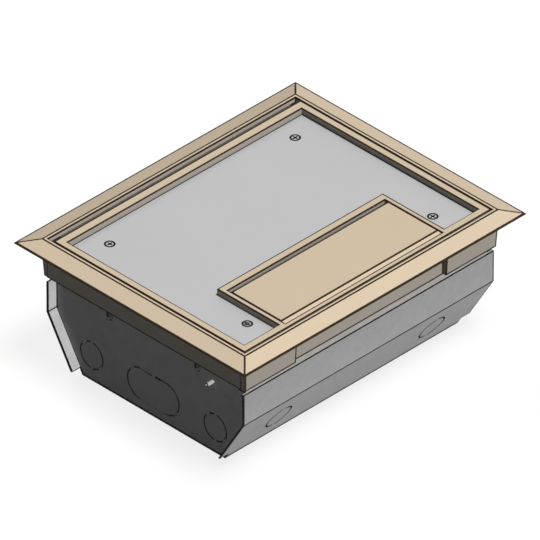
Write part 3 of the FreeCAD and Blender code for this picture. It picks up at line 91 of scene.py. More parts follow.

# Widths of the lines on a piece: at open edges, at edges beside a thin face and at rims, how thin
# a face is drawn as a line, whether small facets are, which paints the walls of grooves such as
# the knock-outs' dark as painted shade, how much wider the lines are on the large faces, and the
# width of the line round the outside
Lines = namedtuple("Lines", "open tight rim cut facets wider border",
                   defaults=(0.0, False, 0.0, 0.0))

# Sockets of a Mix node for colours: the factor, the two colours and the result
MIX_FACTOR = 0
MIX_FIRST = 6
MIX_SECOND = 7
MIX_RESULT = 2

# A face thinner than this is drawn as a line, on a casting and on sheet steel
THIN_CASTING = 0.0013
THIN_SHEET = 0.0018

# Where the near top flange ends, the web beside it that goes on, and a cutter's spare length
NEAR_FLANGE_END = 0.153
NEAR_FLANGE_WEB = -0.1214
SPARE = 0.003

# The step beside each corner pad: how squarely it faces along the box, how far out it starts,
# where it is across the box, and its heights
PAD_STEP_FACING = 0.95
PAD_STEP_X = 0.157
PAD_STEP_Y = (0.1222, 0.1262)
PAD_STEP_Z = (0.0975, 0.1295)

# The lid screws: depth of the driver recesses, how far down their faces may look, and the
# longest facet of a head's rim
RECESS_DEPTH = 0.0025
RECESS_LEAN = -0.2
RIM_FACET = 0.0008

# The most that the side of a hinge's barrel with painted shade looks away from the opening
BARREL_LEAN = 0.05

# Profiles of a bevel
ROUND = 0.5
NEARLY_SQUARE = 0.92

# The longest edge of a hole's rim, and the least angles of a fold and of a sharp edge
HOLE_EDGE = 0.011
FOLD_ANGLE = math.radians(10.0)
SHARP_ANGLE = math.radians(40.0)

# Half the way round a long face and round a small facet, the area of a large face, and how
# many line widths a face has beside an open edge and where its lines are widened
LONG_FACE = 0.02
SMALL_FACET = 0.013
LARGE_FACE = 0.0002
LINE_WIDTHS = 2.2
WIDENED_WIDTHS = 3.0

# Corners this near become one, faces this flat become one, and faces at less than the last
# angle are shaded as one
DOUBLED = 0.000002
FLAT_ANGLE = math.radians(0.5)
SMOOTH_ANGLE = math.radians(32.0)

# Parts of a normal along an axis: of a level face, of one that looks nearly that way, and
# the least that counts
LEVEL = 0.995
NEARLY = 0.9
LEAN = 0.3

# How far a face may be from the place that it is sorted by
BESIDE = 0.002
BELOW_TOP = 0.001
TOUCHING = 0.00001

# The photograph's frame: a point of the object, its pixel and the size of a pixel
IMAGE_SIDE = 540
PIXEL = 0.0008922
AIM_PIXEL = (270.3, 228.9)
LENS = 1500.0
SENSOR = 36.0

# Direction of each lamp, its softness in degrees, and whether it casts shadows
LAMPS = {"top": ((0.0, -0.30, 0.954), 24.0, True),
         "front": ((0.0, -0.927, 0.375), 10.0, False),
         "back": ((0.22, 0.63, 0.75), 30.0, True),
         "rear": ((0.55, 0.75, -0.36), 10.0, False)}

# The floor: its side, its gap under the box, its two shades, the light that it gives to the
# camera, and its dark shade for all other light
FLOOR_SIDE = 12.0
FLOOR_GAP = 0.0004
FLOOR_SHADES = ((0.33, 0.33, 0.33), (0.36, 0.36, 0.36))
FLOOR_GLOW = 0.68
QUIET_FLOOR = (0.08, 0.08, 0.08, 1.0)


def srgb(red, green, blue):
    """A colour on the 0 to 255 scale as scene linear values."""
    def linear(value):
        value /= 255
        return value / 12.92 if value <= 0.04045 else ((value + 0.055) / 1.055) ** 2.4
    return linear(red), linear(green), linear(blue)


def shade(colour, factor):
    """A colour made darker or lighter."""
    return tuple(channel * factor for channel in colour)


# Settings that a user would change

def colour_setting(name, description, colour):
    """A colour in the sidebar."""
    return FloatVectorProperty(name=name, description=description, subtype="COLOR",
                               default=colour, min=0.0, max=1.0)


def width_setting(name, description, width):
    """A small length in the sidebar."""
    return FloatProperty(name=name, description=description, default=width, min=0.0,
                         max=0.005, unit="LENGTH", precision=5)


class FloorBoxEdges(bpy.types.PropertyGroup):
    """Widths of the softened edges and of the lines."""

    casting: width_setting("Casting edge", "Edges of the painted castings", 0.0009)
    casting_tight: width_setting("Casting rim", "Edges beside a thin face of a casting", 0.00045)
    wider: width_setting("Wider line", "Added to the lines on the ring's sides", 0.0007)
    lid_wider: width_setting("Wider lid line", "Added to the lines on the lid frame", 0.0003)
    bezel_border: width_setting("Bezel border", "Line round the outside of the bezel", 0.0019)
    plate_border: width_setting("Plate border", "Line round the lid plate", 0.0013)
    plate_hole: width_setting("Plate holes", "Rims of the plate's screw holes", 0.0005)
    sheet: width_setting("Sheet edge", "Folds and cut edges of the sheet steel", 0.0007)
    shell: width_setting("Shell fold", "Folds of the box shell", 0.0009)
    wall_end: width_setting("Wall end", "Lines at the free ends of the walls", 0.0015)
    wall_foot: width_setting("Wall foot", "Height of the line along the walls' foot", 0.0034)
    rim: width_setting("Rim", "Rims of the shell's holes and knock-outs", 0.0008)
    screw_rim: width_setting("Screw rim", "Rims of the lid plate's screw heads", 0.0014)
    recess_rim: width_setting("Recess rim", "Rims of the screws' driver recesses", 0.00035)
    fold: width_setting("Fold", "Edges of the inner sheet pieces", 0.0002)
    end_plate: width_setting("End plate edge", "Outer edges of the end plates", 0.0013)
    knockout: width_setting("Knock-out", "Rims of the end plates' knock-outs", 0.0005)
    moulding: width_setting("Moulding edge", "Edges of the plastic mouldings", 0.0004)


class FloorBoxColours(bpy.types.PropertyGroup):
    """Colours of the finishes."""

    tan: colour_setting("Tan coat", "Powder coat of the castings", srgb(203, 185, 159))
    # The sides colour is painted shade: a greyer, darker copy of the tan for upright faces turned
    # from the lamps
    sides: colour_setting("Casting sides", "Thin coat on the upright faces", srgb(149, 143, 134))
    plate: colour_setting("Lid plate", "Satin grey coat of the lid plate", srgb(186, 186, 187))
    zinc: colour_setting("Galvanised sheet", "Zinc of the box", srgb(146, 146, 147))
    bright_zinc: colour_setting("Bright zinc", "Plating of screws and nuts", srgb(184, 184, 182))
    hinge: colour_setting("Hinge", "Dark bronze plating of the hinges", srgb(86, 78, 66))
    edge: colour_setting("Edge line", "Dark line that outlines the castings", srgb(46, 37, 27))
    steel_edge: colour_setting("Steel edge", "Dark line that outlines the sheet", srgb(24, 24, 25))
    seal: colour_setting("Seal", "Rubber of the seals", srgb(34, 34, 34))
    outlet: colour_setting("Outlet", "Ivory of the socket outlets", srgb(232, 226, 208))
    outlet_body: colour_setting("Outlet body", "Rear moulding of the outlets", srgb(46, 46, 50))
    jack: colour_setting("Data jack", "Moulding of the data jacks", srgb(226, 226, 222))
    jack_frame: colour_setting("Jack frame", "Moulding of the jack frames", srgb(40, 40, 43))
    brass: colour_setting("Brass", "Terminal screws", srgb(200, 164, 96))
    gold: colour_setting("Gold", "Contact wires of the jacks", srgb(226, 182, 92))


class FloorBoxStage(bpy.types.PropertyGroup):
    """Strengths of the lamps."""

    top: FloatProperty(name="Top lamp", description="Wide soft lamp over the box", default=1.7,
                       min=0.0)
    front: FloatProperty(name="Front lamp", description="Fill lamp before the long side",
                         default=3.14, min=0.0)
    back: FloatProperty(name="Back lamp", description="Weak lamp behind the box", default=0.38,
                        min=0.0)
    rear: FloatProperty(name="Rear lamp", description="Fill lamp for the far sides",
                        default=1.9, min=0.0)
    fill: FloatProperty(name="Fill", description="Even light from all sides", default=0.04,
                        min=0.0)


# Material building

def join(tree, value, entry):
    """Link a wire to a socket, or set the socket's value."""
    if isinstance(value, Wire):
        tree.links.new(value.socket, entry)
    else:
        entry.default_value = value


class Wire:
    """An output socket; arithmetic on it adds Math nodes."""

    def __init__(self, tree, socket):
        self.tree = tree
        self.socket = socket

    def maths(self, operation, first, second):
        """A Math node on two wires or values."""
        node = self.tree.nodes.new("ShaderNodeMath")
        node.operation = operation
        join(self.tree, first, node.inputs[0])
        join(self.tree, second, node.inputs[1])
        return Wire(self.tree, node.outputs[0])

    def __add__(self, other):
        return self.maths("ADD", self, other)

    def __radd__(self, other):
        return self.maths("ADD", other, self)

    def __sub__(self, other):
        return self.maths("SUBTRACT", self, other)

    def __rsub__(self, other):
        return self.maths("SUBTRACT", other, self)

    def __mul__(self, other):
        return self.maths("MULTIPLY", self, other)

    def __rmul__(self, other):
        return self.maths("MULTIPLY", other, self)

    def held(self):
        """The wire kept between 0 and 1."""
        top = self.maths("MINIMUM", self, 1.0)
        return top.maths("MAXIMUM", top, 0.0)


class Finish:
    """A material with one Principled shader."""

    def __init__(self, name):
        self.material = bpy.data.materials.new(name)
        self.material.use_nodes = True
        self.tree = self.material.node_tree
        self.shader = self.tree.nodes["Principled BSDF"]

    def node(self, kind, settings=None, values=None, output=0):
        """A node: its settings first, then its sockets' values or links."""
        node = self.tree.nodes.new(kind)
        for name, value in (settings or {}).items():
            setattr(node, name, value)
        for name, value in (values or {}).items():
            join(self.tree, value, node.inputs[name])
        return Wire(self.tree, node.outputs[output])

    def place(self):
        """Where the surface is on the object."""
        return self.node("ShaderNodeTexCoord", output="Object")

    def stretched(self, place, scale):
        """The place with each axis scaled, for grain that runs one way."""
        return self.node("ShaderNodeMapping", values={"Vector": place, "Scale": scale})

    def noise(self, place, scale, detail):
        """Soft noise from 0 to 1."""
        return self.node("ShaderNodeTexNoise",
                         values={"Vector": place, "Scale": scale, "Detail": detail})

    def cells(self, place, scale):
        """A random value for each cell of a crystal pattern."""
        colour = self.node("ShaderNodeTexVoronoi", values={"Vector": place, "Scale": scale},
                           output="Color")
        return self.node("ShaderNodeSeparateColor", values={"Color": colour})

    def blend(self, factor, first, second):
        """A mix of two colours."""
        entries = {MIX_FACTOR: factor, MIX_FIRST: (*first, 1.0), MIX_SECOND: (*second, 1.0)}
        return self.node("ShaderNodeMix", {"data_type": "RGBA"}, entries,
                         output=MIX_RESULT)

    def mottled(self, factor, colour, dark, light):
        """A colour that varies between a darker and a lighter shade of it."""
        return self.blend(factor, shade(colour, dark), shade(colour, light))

    def bump(self, height, distance, strength):
        """Fine relief of the surface."""
        relief = self.node("ShaderNodeBump", values={"Height": height, "Distance": distance,
                                                     "Strength": strength})
        join(self.tree, relief, self.shader.inputs["Normal"])

    def wear(self, **values):
        """Set the shader's sockets; underscores stand for spaces in their names."""
        for name, value in values.items():
            join(self.tree, value, self.shader.inputs[name.replace("_", " ")])
        return self.material


def powder_coat(name, colour, shine):
    """Smooth satin powder coat with a slight orange peel."""
    finish = Finish(name)
    place = finish.place()
    broad = finish.noise(place, scale=11.0, detail=3.0)
    peel = finish.noise(place, scale=1400.0, detail=2.0)
    fleck = finish.noise(place, scale=420.0, detail=4.0)
    tone = (broad * 0.7 + fleck * 0.5 - 0.1).held()
    coat = finish.mottled(tone, colour, dark=0.955, light=1.035)
    finish.bump(peel, distance=0.00003, strength=0.5)
    return finish.wear(Base_Color=coat, Roughness=0.44 + 0.1 * fleck, Specular_IOR_Level=shine)


def grey_coat(name, colour):
    """Light grey satin coat of the lid plate."""
    finish = Finish(name)
    place = finish.place()
    streaks = finish.stretched(place, scale=(60.0, 1400.0, 900.0))
    grain = finish.noise(streaks, scale=1.0, detail=3.0)
    broad = finish.noise(place, scale=7.0, detail=2.0)
    tone = (broad * 0.6 + grain * 0.4).held()
    coat = finish.mottled(tone, colour, dark=0.95, light=1.04)
    finish.bump(grain, distance=0.00001, strength=0.4)
    return finish.wear(Base_Color=coat, Roughness=0.4 + 0.12 * grain, Metallic=0.1,
                       Specular_IOR_Level=0.3)


def zinc_sheet(name, colour):
    """Galvanised sheet: dull crystals over a fine rolling grain."""
    finish = Finish(name)
    place = finish.place()
    crystal = finish.cells(place, scale=150.0)
    small = finish.cells(place, scale=420.0)
    streaks = finish.stretched(place, scale=(90.0, 900.0, 900.0))
    grain = finish.noise(streaks, scale=1.0, detail=3.0)
    tone = (crystal * 0.45 + small * 0.2 + grain * 0.35).held()
    zinc = finish.mottled(tone, colour, dark=0.9, light=1.09)
    finish.bump(grain, distance=0.00001, strength=0.4)
    return finish.wear(Base_Color=zinc, Metallic=0.04, Roughness=0.42 + 0.16 * crystal,
                       Specular_IOR_Level=0.14)


def plated(name, colour, metallic, roughness):
    """Bright or dark plating with a fine turning grain."""
    finish = Finish(name)
    place = finish.place()
    grain = finish.noise(place, scale=1800.0, detail=3.0)
    patch = finish.noise(place, scale=220.0, detail=2.0)
    tone = (grain * 0.5 + patch * 0.5).held()
    shades = finish.mottled(tone, colour, dark=0.88, light=1.08)
    finish.bump(grain, distance=0.00001, strength=0.5)
    return finish.wear(Base_Color=shades, Metallic=metallic,
                       Roughness=roughness - 0.05 + 0.12 * patch)


def moulded(name, colour, roughness, texture):
    """Moulded plastic or rubber with a fine spark-eroded texture."""
    finish = Finish(name)
    place = finish.place()
    spark = finish.noise(place, scale=1600.0, detail=3.0)
    broad = finish.noise(place, scale=40.0, detail=2.0)
    shades = finish.mottled(broad, colour, dark=0.95, light=1.05)
    finish.bump(spark, distance=texture, strength=0.5)
    return finish.wear(Base_Color=shades, Roughness=roughness + 0.08 * spark)


def edge_line(name, colour):
    """The dark line along an edge, a little broken up."""
    finish = Finish(name)
    broken = finish.noise(finish.place(), scale=500.0, detail=3.0)
    shades = finish.mottled(broken, colour, dark=0.8, light=1.3)
    return finish.wear(Base_Color=shades, Roughness=0.7, Specular_IOR_Level=0.1)


# How each finish is made: the function, the colour setting, the factor on that colour, and
# the function's other values
FINISHES = {
    "galvanised_steel": (zinc_sheet, "zinc", 1.0, {}),
    "compartment_steel": (zinc_sheet, "zinc", 1.06, {}),
    # Painted light: a much lighter copy of the zinc for the top flanges, which lie in shade under
    # the skirt
    "flange_steel": (zinc_sheet, "zinc", 2.6, {}),
    # Painted light: a lighter copy of the zinc for the far wall's inner face past the end plates
    "inner_steel": (zinc_sheet, "zinc", 1.7, {}),
    "zinc_fastener": (plated, "bright_zinc", 1.0, {"metallic": 0.5, "roughness": 0.4}),
    "earth_screw_steel": (plated, "bright_zinc", 1.5, {"metallic": 0.3, "roughness": 0.35}),
    # Painted shade: nearly black zinc for the locating screws, which sit in dark notches
    "dull_zinc": (plated, "bright_zinc", 0.1, {"metallic": 0.05, "roughness": 0.6}),
    "pin_steel": (plated, "bright_zinc", 0.7, {"metallic": 0.8, "roughness": 0.35}),
    "tan_painted_casting": (powder_coat, "tan", 1.0, {"shine": 0.3}),
    # Painted shade: the side finishes darken the castings' upright faces, and the lid's uprights
    # darker still
    "casting_sides": (powder_coat, "sides", 1.0, {"shine": 0.14}),
    "lid_sides": (powder_coat, "sides", 0.84, {"shine": 0.14}),
    "grey_plate_steel": (grey_coat, "plate", 1.0, {}),
    "seal_rubber": (moulded, "seal", 1.0, {"roughness": 0.7, "texture": 0.00005}),
    # Lit and shaded copies of the hinge colour: the lid hinge's steel is lightened as painted
    # light, and the flap hinge's steel and the barrels' near sides are darkened as painted shade
    "dark_hinge_steel": (plated, "hinge", 1.35, {"metallic": 0.3, "roughness": 0.5}),
    "hinge_side": (plated, "hinge", 0.4, {"metallic": 0.0, "roughness": 0.7}),
    "flap_hinge_steel": (plated, "hinge", 0.7, {"metallic": 0.1, "roughness": 0.6}),
    "socket_plastic": (moulded, "outlet", 1.0, {"roughness": 0.3, "texture": 0.00001}),
    "socket_body_plastic": (moulded, "outlet_body", 1.0,
                            {"roughness": 0.5, "texture": 0.00003}),
    "terminal_brass": (plated, "brass", 1.0, {"metallic": 0.9, "roughness": 0.35}),
    "jack_frame_plastic": (moulded, "jack_frame", 1.0, {"roughness": 0.45, "texture": 0.00003}),
    "jack_plastic": (moulded, "jack", 1.0, {"roughness": 0.38, "texture": 0.00002}),
    "contact_gold": (plated, "gold", 1.0, {"metallic": 0.95, "roughness": 0.25}),
    "casting_edge_line": (edge_line, "edge", 1.0, {}),
    "steel_edge_line": (edge_line, "steel_edge", 1.0, {}),
}


def build_finish(name):
    """Make the material of a slot or an edge."""
    maker, setting, factor, values = FINISHES[name]
    colour = tuple(getattr(bpy.context.scene.floor_box_colours, setting))
    return maker(name, shade(colour, factor), **values)


def finish_named(name):
    """The material of a slot or an edge, made once."""
    material = bpy.data.materials.get("finish_" + name)
    if not material:
        material = build_finish(name)
        material.name = "finish_" + name
    return material


# Pieces

def wear_node(node, finish=None):
    """A CAD node that stays as it is gets the finish of its slot, or another one."""
    for entry in frame["nodes"][node].material_slots:
        entry.material = finish_named(finish or SLOT_OF[node])


def pick(piece):
    """Deselect everything and open one piece for editing."""
    bpy.ops.object.select_all(action="DESELECT")
    bpy.context.view_layer.objects.active = piece
    piece.select_set(True)
    bpy.ops.object.mode_set(mode="EDIT")
    bpy.ops.mesh.select_mode(type="EDGE")


def close_up():
    """Leave edit mode."""
    bpy.ops.object.mode_set(mode="OBJECT")


def whole_faces():
    """In edit mode, merge doubled corners and the flat faces that a mesh is cut into."""
    bpy.ops.mesh.select_all(action="SELECT")
    bpy.ops.mesh.remove_doubles(threshold=DOUBLED)
    bpy.ops.mesh.dissolve_limited(angle_limit=FLAT_ANGLE)
    bpy.ops.mesh.select_all(action="DESELECT")


def merged_copy(node, name, finishes):
    """A copy of a CAD node with its corners merged, its flat faces whole and its finishes."""
    piece = bpy.data.objects.new(name, frame["nodes"][node].data.copy())
    bpy.context.scene.collection.objects.link(piece)
    piece.data.materials.clear()
    for finish in finishes:
        piece.data.materials.append(finish_named(finish))
    pick(piece)
    whole_faces()
    close_up()
    return piece


def each_face(piece, change):
    """Run a change on every face of a piece."""
    pick(piece)
    mesh = bmesh.from_edit_mesh(piece.data)
    for face in mesh.faces:
        change(face)
    bmesh.update_edit_mesh(piece.data)
    close_up()


def each_edge(piece, change):
    """Run a change on every edge between two faces of a piece."""
    pick(piece)
    mesh = bmesh.from_edit_mesh(piece.data)
    for edge in mesh.edges:
        if len(edge.link_faces) == 2:
            change(edge)
    bmesh.update_edit_mesh(piece.data)
    close_up()


def bevel_edges(piece, wanted, width, profile, material):
    """Bevel the edges that a test picks, with the new faces in a finish."""
    pick(piece)
    mesh = bmesh.from_edit_mesh(piece.data)
    found = 0
    for edge in mesh.edges:
        edge.select = len(edge.link_faces) == 2 and wanted(edge)
        found += edge.select
    bmesh.update_edit_mesh(piece.data)
    if found:
        bpy.ops.mesh.bevel(offset=width, offset_type="OFFSET", segments=2, profile=profile,
                           affect="EDGES", clamp_overlap=False, material=material)
    bpy.ops.mesh.select_all(action="DESELECT")
    close_up()


def keep_inside(piece, node):
    """Bring corners that a bevel pushed out of the node's box back to it."""
    low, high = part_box(node)
    for corner in piece.data.vertices:
        for axis in range(3):
            corner.co[axis] = min(max(corner.co[axis], low[axis]), high[axis])


def keep_apart(edge):
    """Keep the shading of the faces of two finishes apart."""
    if edge.link_faces[0].material_index != edge.link_faces[1].material_index:
        edge.smooth = False


def lined(edge):
    """True where a face beside the edge is a drawn line already."""
    return any(face.material_index == LINE for face in edge.link_faces)


def half_round(face):
    """Half the way round a face: the length of a long thin one."""
    return sum(edge.calc_length() for edge in face.edges) / 2


def thinner(face, width):
    """True for a long face that is thinner than a width, such as the cut edge of a sheet."""
    length = half_round(face)
    return length > LONG_FACE and face.calc_area() < length * width


def sharp_edge(edge):
    """True for any sharp edge."""
    return edge.calc_face_angle(0.0) > SHARP_ANGLE


def long_edge(edge):
    """True for a straight edge or fold between two faces, not a facet of a hole."""
    return edge.calc_length() > HOLE_EDGE and edge.calc_face_angle(0.0) > FOLD_ANGLE


def short_edge(edge):
    """True for a short sharp edge, such as the rim of a hole."""
    return edge.calc_length() <= HOLE_EDGE and sharp_edge(edge)


def stand_in(piece, node):
    """Let a modelled copy take a node's place: its shading and body, with the node hidden."""
    bpy.ops.object.select_all(action="DESELECT")
    bpy.context.view_layer.objects.active = piece
    piece.select_set(True)
    bpy.ops.object.shade_smooth_by_angle(angle=SMOOTH_ANGLE)
    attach(piece, BODY_OF[node])
    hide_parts(node)
    return piece


def outlined(node, name, finishes, lines, apart=None, widened=None, bordered=None, trim=None,
             plain=None):
    """A casting or sheet with its edges drawn in a dark line.

    Tests pick the faces that get the third finish, wider lines, a border or no line at all,
    and trim changes the piece first.
    """
    piece = merged_copy(node, name, finishes)
    if trim:
        trim(piece)

    def open_edge(edge):
        return (long_edge(edge) and not lined(edge)
                and not any(thinner(face, lines.open * LINE_WIDTHS) for face in edge.link_faces))

    def tight_edge(edge):
        return long_edge(edge) and not lined(edge)

    def rim_edge(edge):
        return short_edge(edge) and not lined(edge)

    def sort_face(face):
        # Small facets, such as the walls of the knock-outs' grooves, get the dark line finish as
        # painted shade
        facet = lines.facets and half_round(face) < SMALL_FACET
        if plain and plain(face):
            face.material_index = APART
        elif facet or thinner(face, lines.cut):
            face.material_index = LINE
        elif apart and face.material_index != LINE and apart(face):
            face.material_index = APART
    bevel_edges(piece, open_edge, lines.open, NEARLY_SQUARE, LINE)
    bevel_edges(piece, tight_edge, lines.tight, NEARLY_SQUARE, LINE)
    bevel_edges(piece, rim_edge, lines.rim, NEARLY_SQUARE, LINE)
    if lines.border:
        line_round(piece, lines.border, bordered)
    if lines.wider:
        widen_lines(piece, lines.wider, widened)
    each_face(piece, sort_face)
    each_edge(piece, keep_apart)
    keep_inside(piece, node)
    return stand_in(piece, node)


def select_faces(piece, wanted):
    """Open a piece for editing with the faces selected that a test picks."""
    pick(piece)
    bpy.ops.mesh.select_mode(type="FACE")
    bpy.ops.mesh.select_all(action="DESELECT")
    mesh = bmesh.from_edit_mesh(piece.data)
    found = 0
    for face in mesh.faces:
        if wanted(face):
            face.select = True
            found += 1
    bmesh.update_edit_mesh(piece.data)
    return found


def widen_lines(piece, width, wanted):
    """Widen the lines at the borders of the flat faces that a test picks."""
    def large(face):
        return (face.material_index != LINE and face.calc_area() > LARGE_FACE
                and not thinner(face, WIDENED_WIDTHS * width) and wanted(face))
    if select_faces(piece, large):
        before = len(bmesh.from_edit_mesh(piece.data).faces)
        bpy.ops.mesh.inset(thickness=width, depth=0.0, use_even_offset=True)
        mesh = bmesh.from_edit_mesh(piece.data)
        mesh.faces.ensure_lookup_table()
        for face in mesh.faces[before:]:
            if not face.select:
                face.material_index = LINE
        bmesh.update_edit_mesh(piece.data)
    bpy.ops.mesh.select_all(action="DESELECT")
    close_up()


def line_side(piece, width, wanted, axis, side, finish):
    """Give the border at one side of the faces that a test picks a finish of its own."""
    reach = max(corner.co[axis] * side for corner in piece.data.vertices) - width
    across = Vector((0.0, 0.0, 0.0))
    across[axis] = side

    def coat(face):
        if wanted(face) and face.calc_center_median()[axis] * side > reach:
            face.material_index = finish
    select_faces(piece, wanted)
    bpy.ops.mesh.bisect(plane_co=across * reach, plane_no=across)
    bpy.ops.mesh.select_all(action="DESELECT")
    close_up()
    each_face(piece, coat)


def line_round(piece, width, wanted, axes=(0, 1), sides=(-1, 1), finish=LINE):
    """Give the outer border of the faces that a test picks a line's finish, or another."""
    for axis in axes:
        for side in sides:
            line_side(piece, width, wanted, axis, side, finish)


def slope(face):
    """True for the bezel's slopes."""
    return face.material_index == MAIN and NEARLY < face.normal.z < LEVEL


def plate_top(face):
    """True for the top of the lid plate."""
    return face.material_index == MAIN and face.normal.z > LEVEL


def pad_step(face):
    """True for the low step where a corner pad meets the end of the skirt."""
    middle = face.calc_center_median()
    return (abs(face.normal.x) > PAD_STEP_FACING and abs(middle.x) > PAD_STEP_X
            and PAD_STEP_Y[0] < abs(middle.y) < PAD_STEP_Y[1]
            and PAD_STEP_Z[0] < middle.z < PAD_STEP_Z[1])


def wall(face):
    """True for the upright and sloping walls of the box."""
    return face.material_index == MAIN and abs(face.normal.y) > LEAN


def lid_face(face):
    """True for the flat faces above the lid plate and the flap window's far wall."""
    middle = face.calc_center_median()
    far_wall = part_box("flap_hinge_frame_leaf")[1].y
    return ((face.normal.z > NEARLY and middle.z > PLATE_TOP)
            or (face.normal.y < -NEARLY and abs(middle.y - far_wall) < BESIDE))


def barrel_painted_shade_side(face):
    """True for the side of a hinge's barrel that faces the opening's middle, which gets painted
    shade.
    """
    return (face.normal.y < BARREL_LEAN
            and face.calc_center_median().z > PLATE_TOP + BESIDE)


def upright(face):
    """True for the upright faces of a casting."""
    return abs(face.normal.z) < LEAN


def outer_slope(face):
    """True for the outer faces of the sloping walls."""
    return wall(face) and face.normal.z < -LEAN


def far_inside(face):
    """True for the inner faces of the far wall."""
    return wall(face) and face.normal.y < 0.0 < face.calc_center_median().y


def top_flange(face):
    """True for the flanges along the top of the box."""
    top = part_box("box_shell")[1].z - BELOW_TOP
    return face.normal.z > NEARLY and face.calc_center_median().z > top


def cut_away(piece, low, high):
    """Cut a square block out of a piece."""
    size = high - low
    bpy.ops.object.select_all(action="DESELECT")
    bpy.ops.mesh.primitive_cube_add(size=1.0, scale=size, location=(low + high) / 2)
    cutter = bpy.context.object
    bpy.ops.object.select_all(action="DESELECT")
    bpy.context.view_layer.objects.active = piece
    bpy.ops.object.modifier_add(type="BOOLEAN")
    piece.modifiers[-1].object = cutter
    bpy.ops.object.modifier_apply(modifier=piece.modifiers[-1].name)
    bpy.data.objects.remove(cutter)


def dress_shell(piece):
    """Cut the ends of the top flanges back and line the free ends and the foot of the walls."""
    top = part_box("box_shell")[1]
    outer = top.x + SPARE
    for plate in ("end_plate_left", "end_plate_right"):
        low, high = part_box(plate)
        side = math.copysign(1.0, low.x)
        far_end = (max(abs(low.x), abs(high.x)), 0.0, high.y)
        near_end = (NEAR_FLANGE_END, NEAR_FLANGE_WEB, 0.0)
        for start, near, far in (far_end, near_end):
            ends = sorted((side * start, side * outer))
            cut_away(piece, Vector((ends[0], near, top.z - SPARE)),
                     Vector((ends[1], far, top.z + SPARE)))
    pick(piece)
    whole_faces()
    close_up()
    edges = bpy.context.scene.floor_box_edges
    line_round(piece, edges.wall_end, wall, (0,))
    line_round(piece, edges.wall_foot, outer_slope, (2,), (-1,))


def softened(node, name, width):
    """A copy with plain softened edges in its own finish."""
    piece = merged_copy(node, name, (SLOT_OF[node],))
    bevel_edges(piece, sharp_edge, width, ROUND, MAIN)
    stand_in(piece, node)
    bpy.ops.object.modifier_add(type="WEIGHTED_NORMAL")
    piece.modifiers[-1].keep_sharp = True
    bpy.ops.object.modifier_apply(modifier=piece.modifiers[-1].name)


class FLOORBOX_OT_castings(bpy.types.Operator):
    """Trim ring, lid frame and flap, coated tan"""

    bl_idname = "floor_box.castings"
    bl_label = "Castings"
    bl_options = {"REGISTER", "UNDO"}

    def execute(self, context):
        edges = context.scene.floor_box_edges
        finishes = ("tan_painted_casting", "casting_edge_line", "casting_sides")
        lines = Lines(edges.casting, edges.casting_tight, edges.fold, THIN_CASTING,
                      wider=edges.wider)
        ring = lines._replace(border=edges.bezel_border)
        # The ring's upright faces and pad steps get the side finish, which is painted shade
        outlined("trim_ring", "trim_ring_casting", finishes, ring, upright, upright, slope,
                 plain=pad_step)
        finishes = finishes[:2] + ("lid_sides",)
        # The lid frame's and flap's upright faces get the darker side finish, which is painted
        # shade
        outlined("lid_frame", "lid_frame_casting", finishes,
                 lines._replace(wider=edges.lid_wider), upright, lid_face)
        outlined("flap_plate", "flap_plate_casting", finishes, lines._replace(wider=0.0), upright)
        return {"FINISHED"}


class FLOORBOX_OT_lid_plate(bpy.types.Operator):
    """Grey plate of the lid with its four countersunk screws"""

    bl_idname = "floor_box.lid_plate"
    bl_label = "Lid plate"
    bl_options = {"REGISTER", "UNDO"}

    def execute(self, context):
        edges = context.scene.floor_box_edges
        lines = Lines(edges.casting, edges.sheet, edges.plate_hole, THIN_CASTING,
                      border=edges.plate_border)
        outlined("lid_plate", "lid_plate_sheet", ("grey_plate_steel", "steel_edge_line"), lines,
                 bordered=plate_top)
        self.screws(edges)
        return {"FINISHED"}

    def screws(self, edges):
        """The screws, with dark rims and painted shade in their driver recesses."""
        piece = merged_copy("lid_plate_screws", "lid_plate_screw_set",
                            ("zinc_fastener", "steel_edge_line"))

        # Painted shade: the faces down in the driver recesses get the dark line finish
        def paint_recess_shade(face):
            middle = face.calc_center_median()
            low, high = PLATE_TOP - RECESS_DEPTH, PLATE_TOP - 2 * TOUCHING
            if low < middle.z < high and face.normal.z > RECESS_LEAN:
                face.material_index = LINE

        def top_edge(edge):
            return sharp_edge(edge) and all(corner.co.z > PLATE_TOP - TOUCHING
                                            for corner in edge.verts)

        def head_rim(edge):
            return top_edge(edge) and edge.calc_length() < RIM_FACET

        def recess_rim(edge):
            return top_edge(edge) and edge.calc_length() >= RIM_FACET
        each_face(piece, paint_recess_shade)
        bevel_edges(piece, recess_rim, edges.recess_rim, NEARLY_SQUARE, LINE)
        bevel_edges(piece, head_rim, edges.screw_rim, NEARLY_SQUARE, LINE)
        each_edge(piece, keep_apart)
        stand_in(piece, "lid_plate_screws")


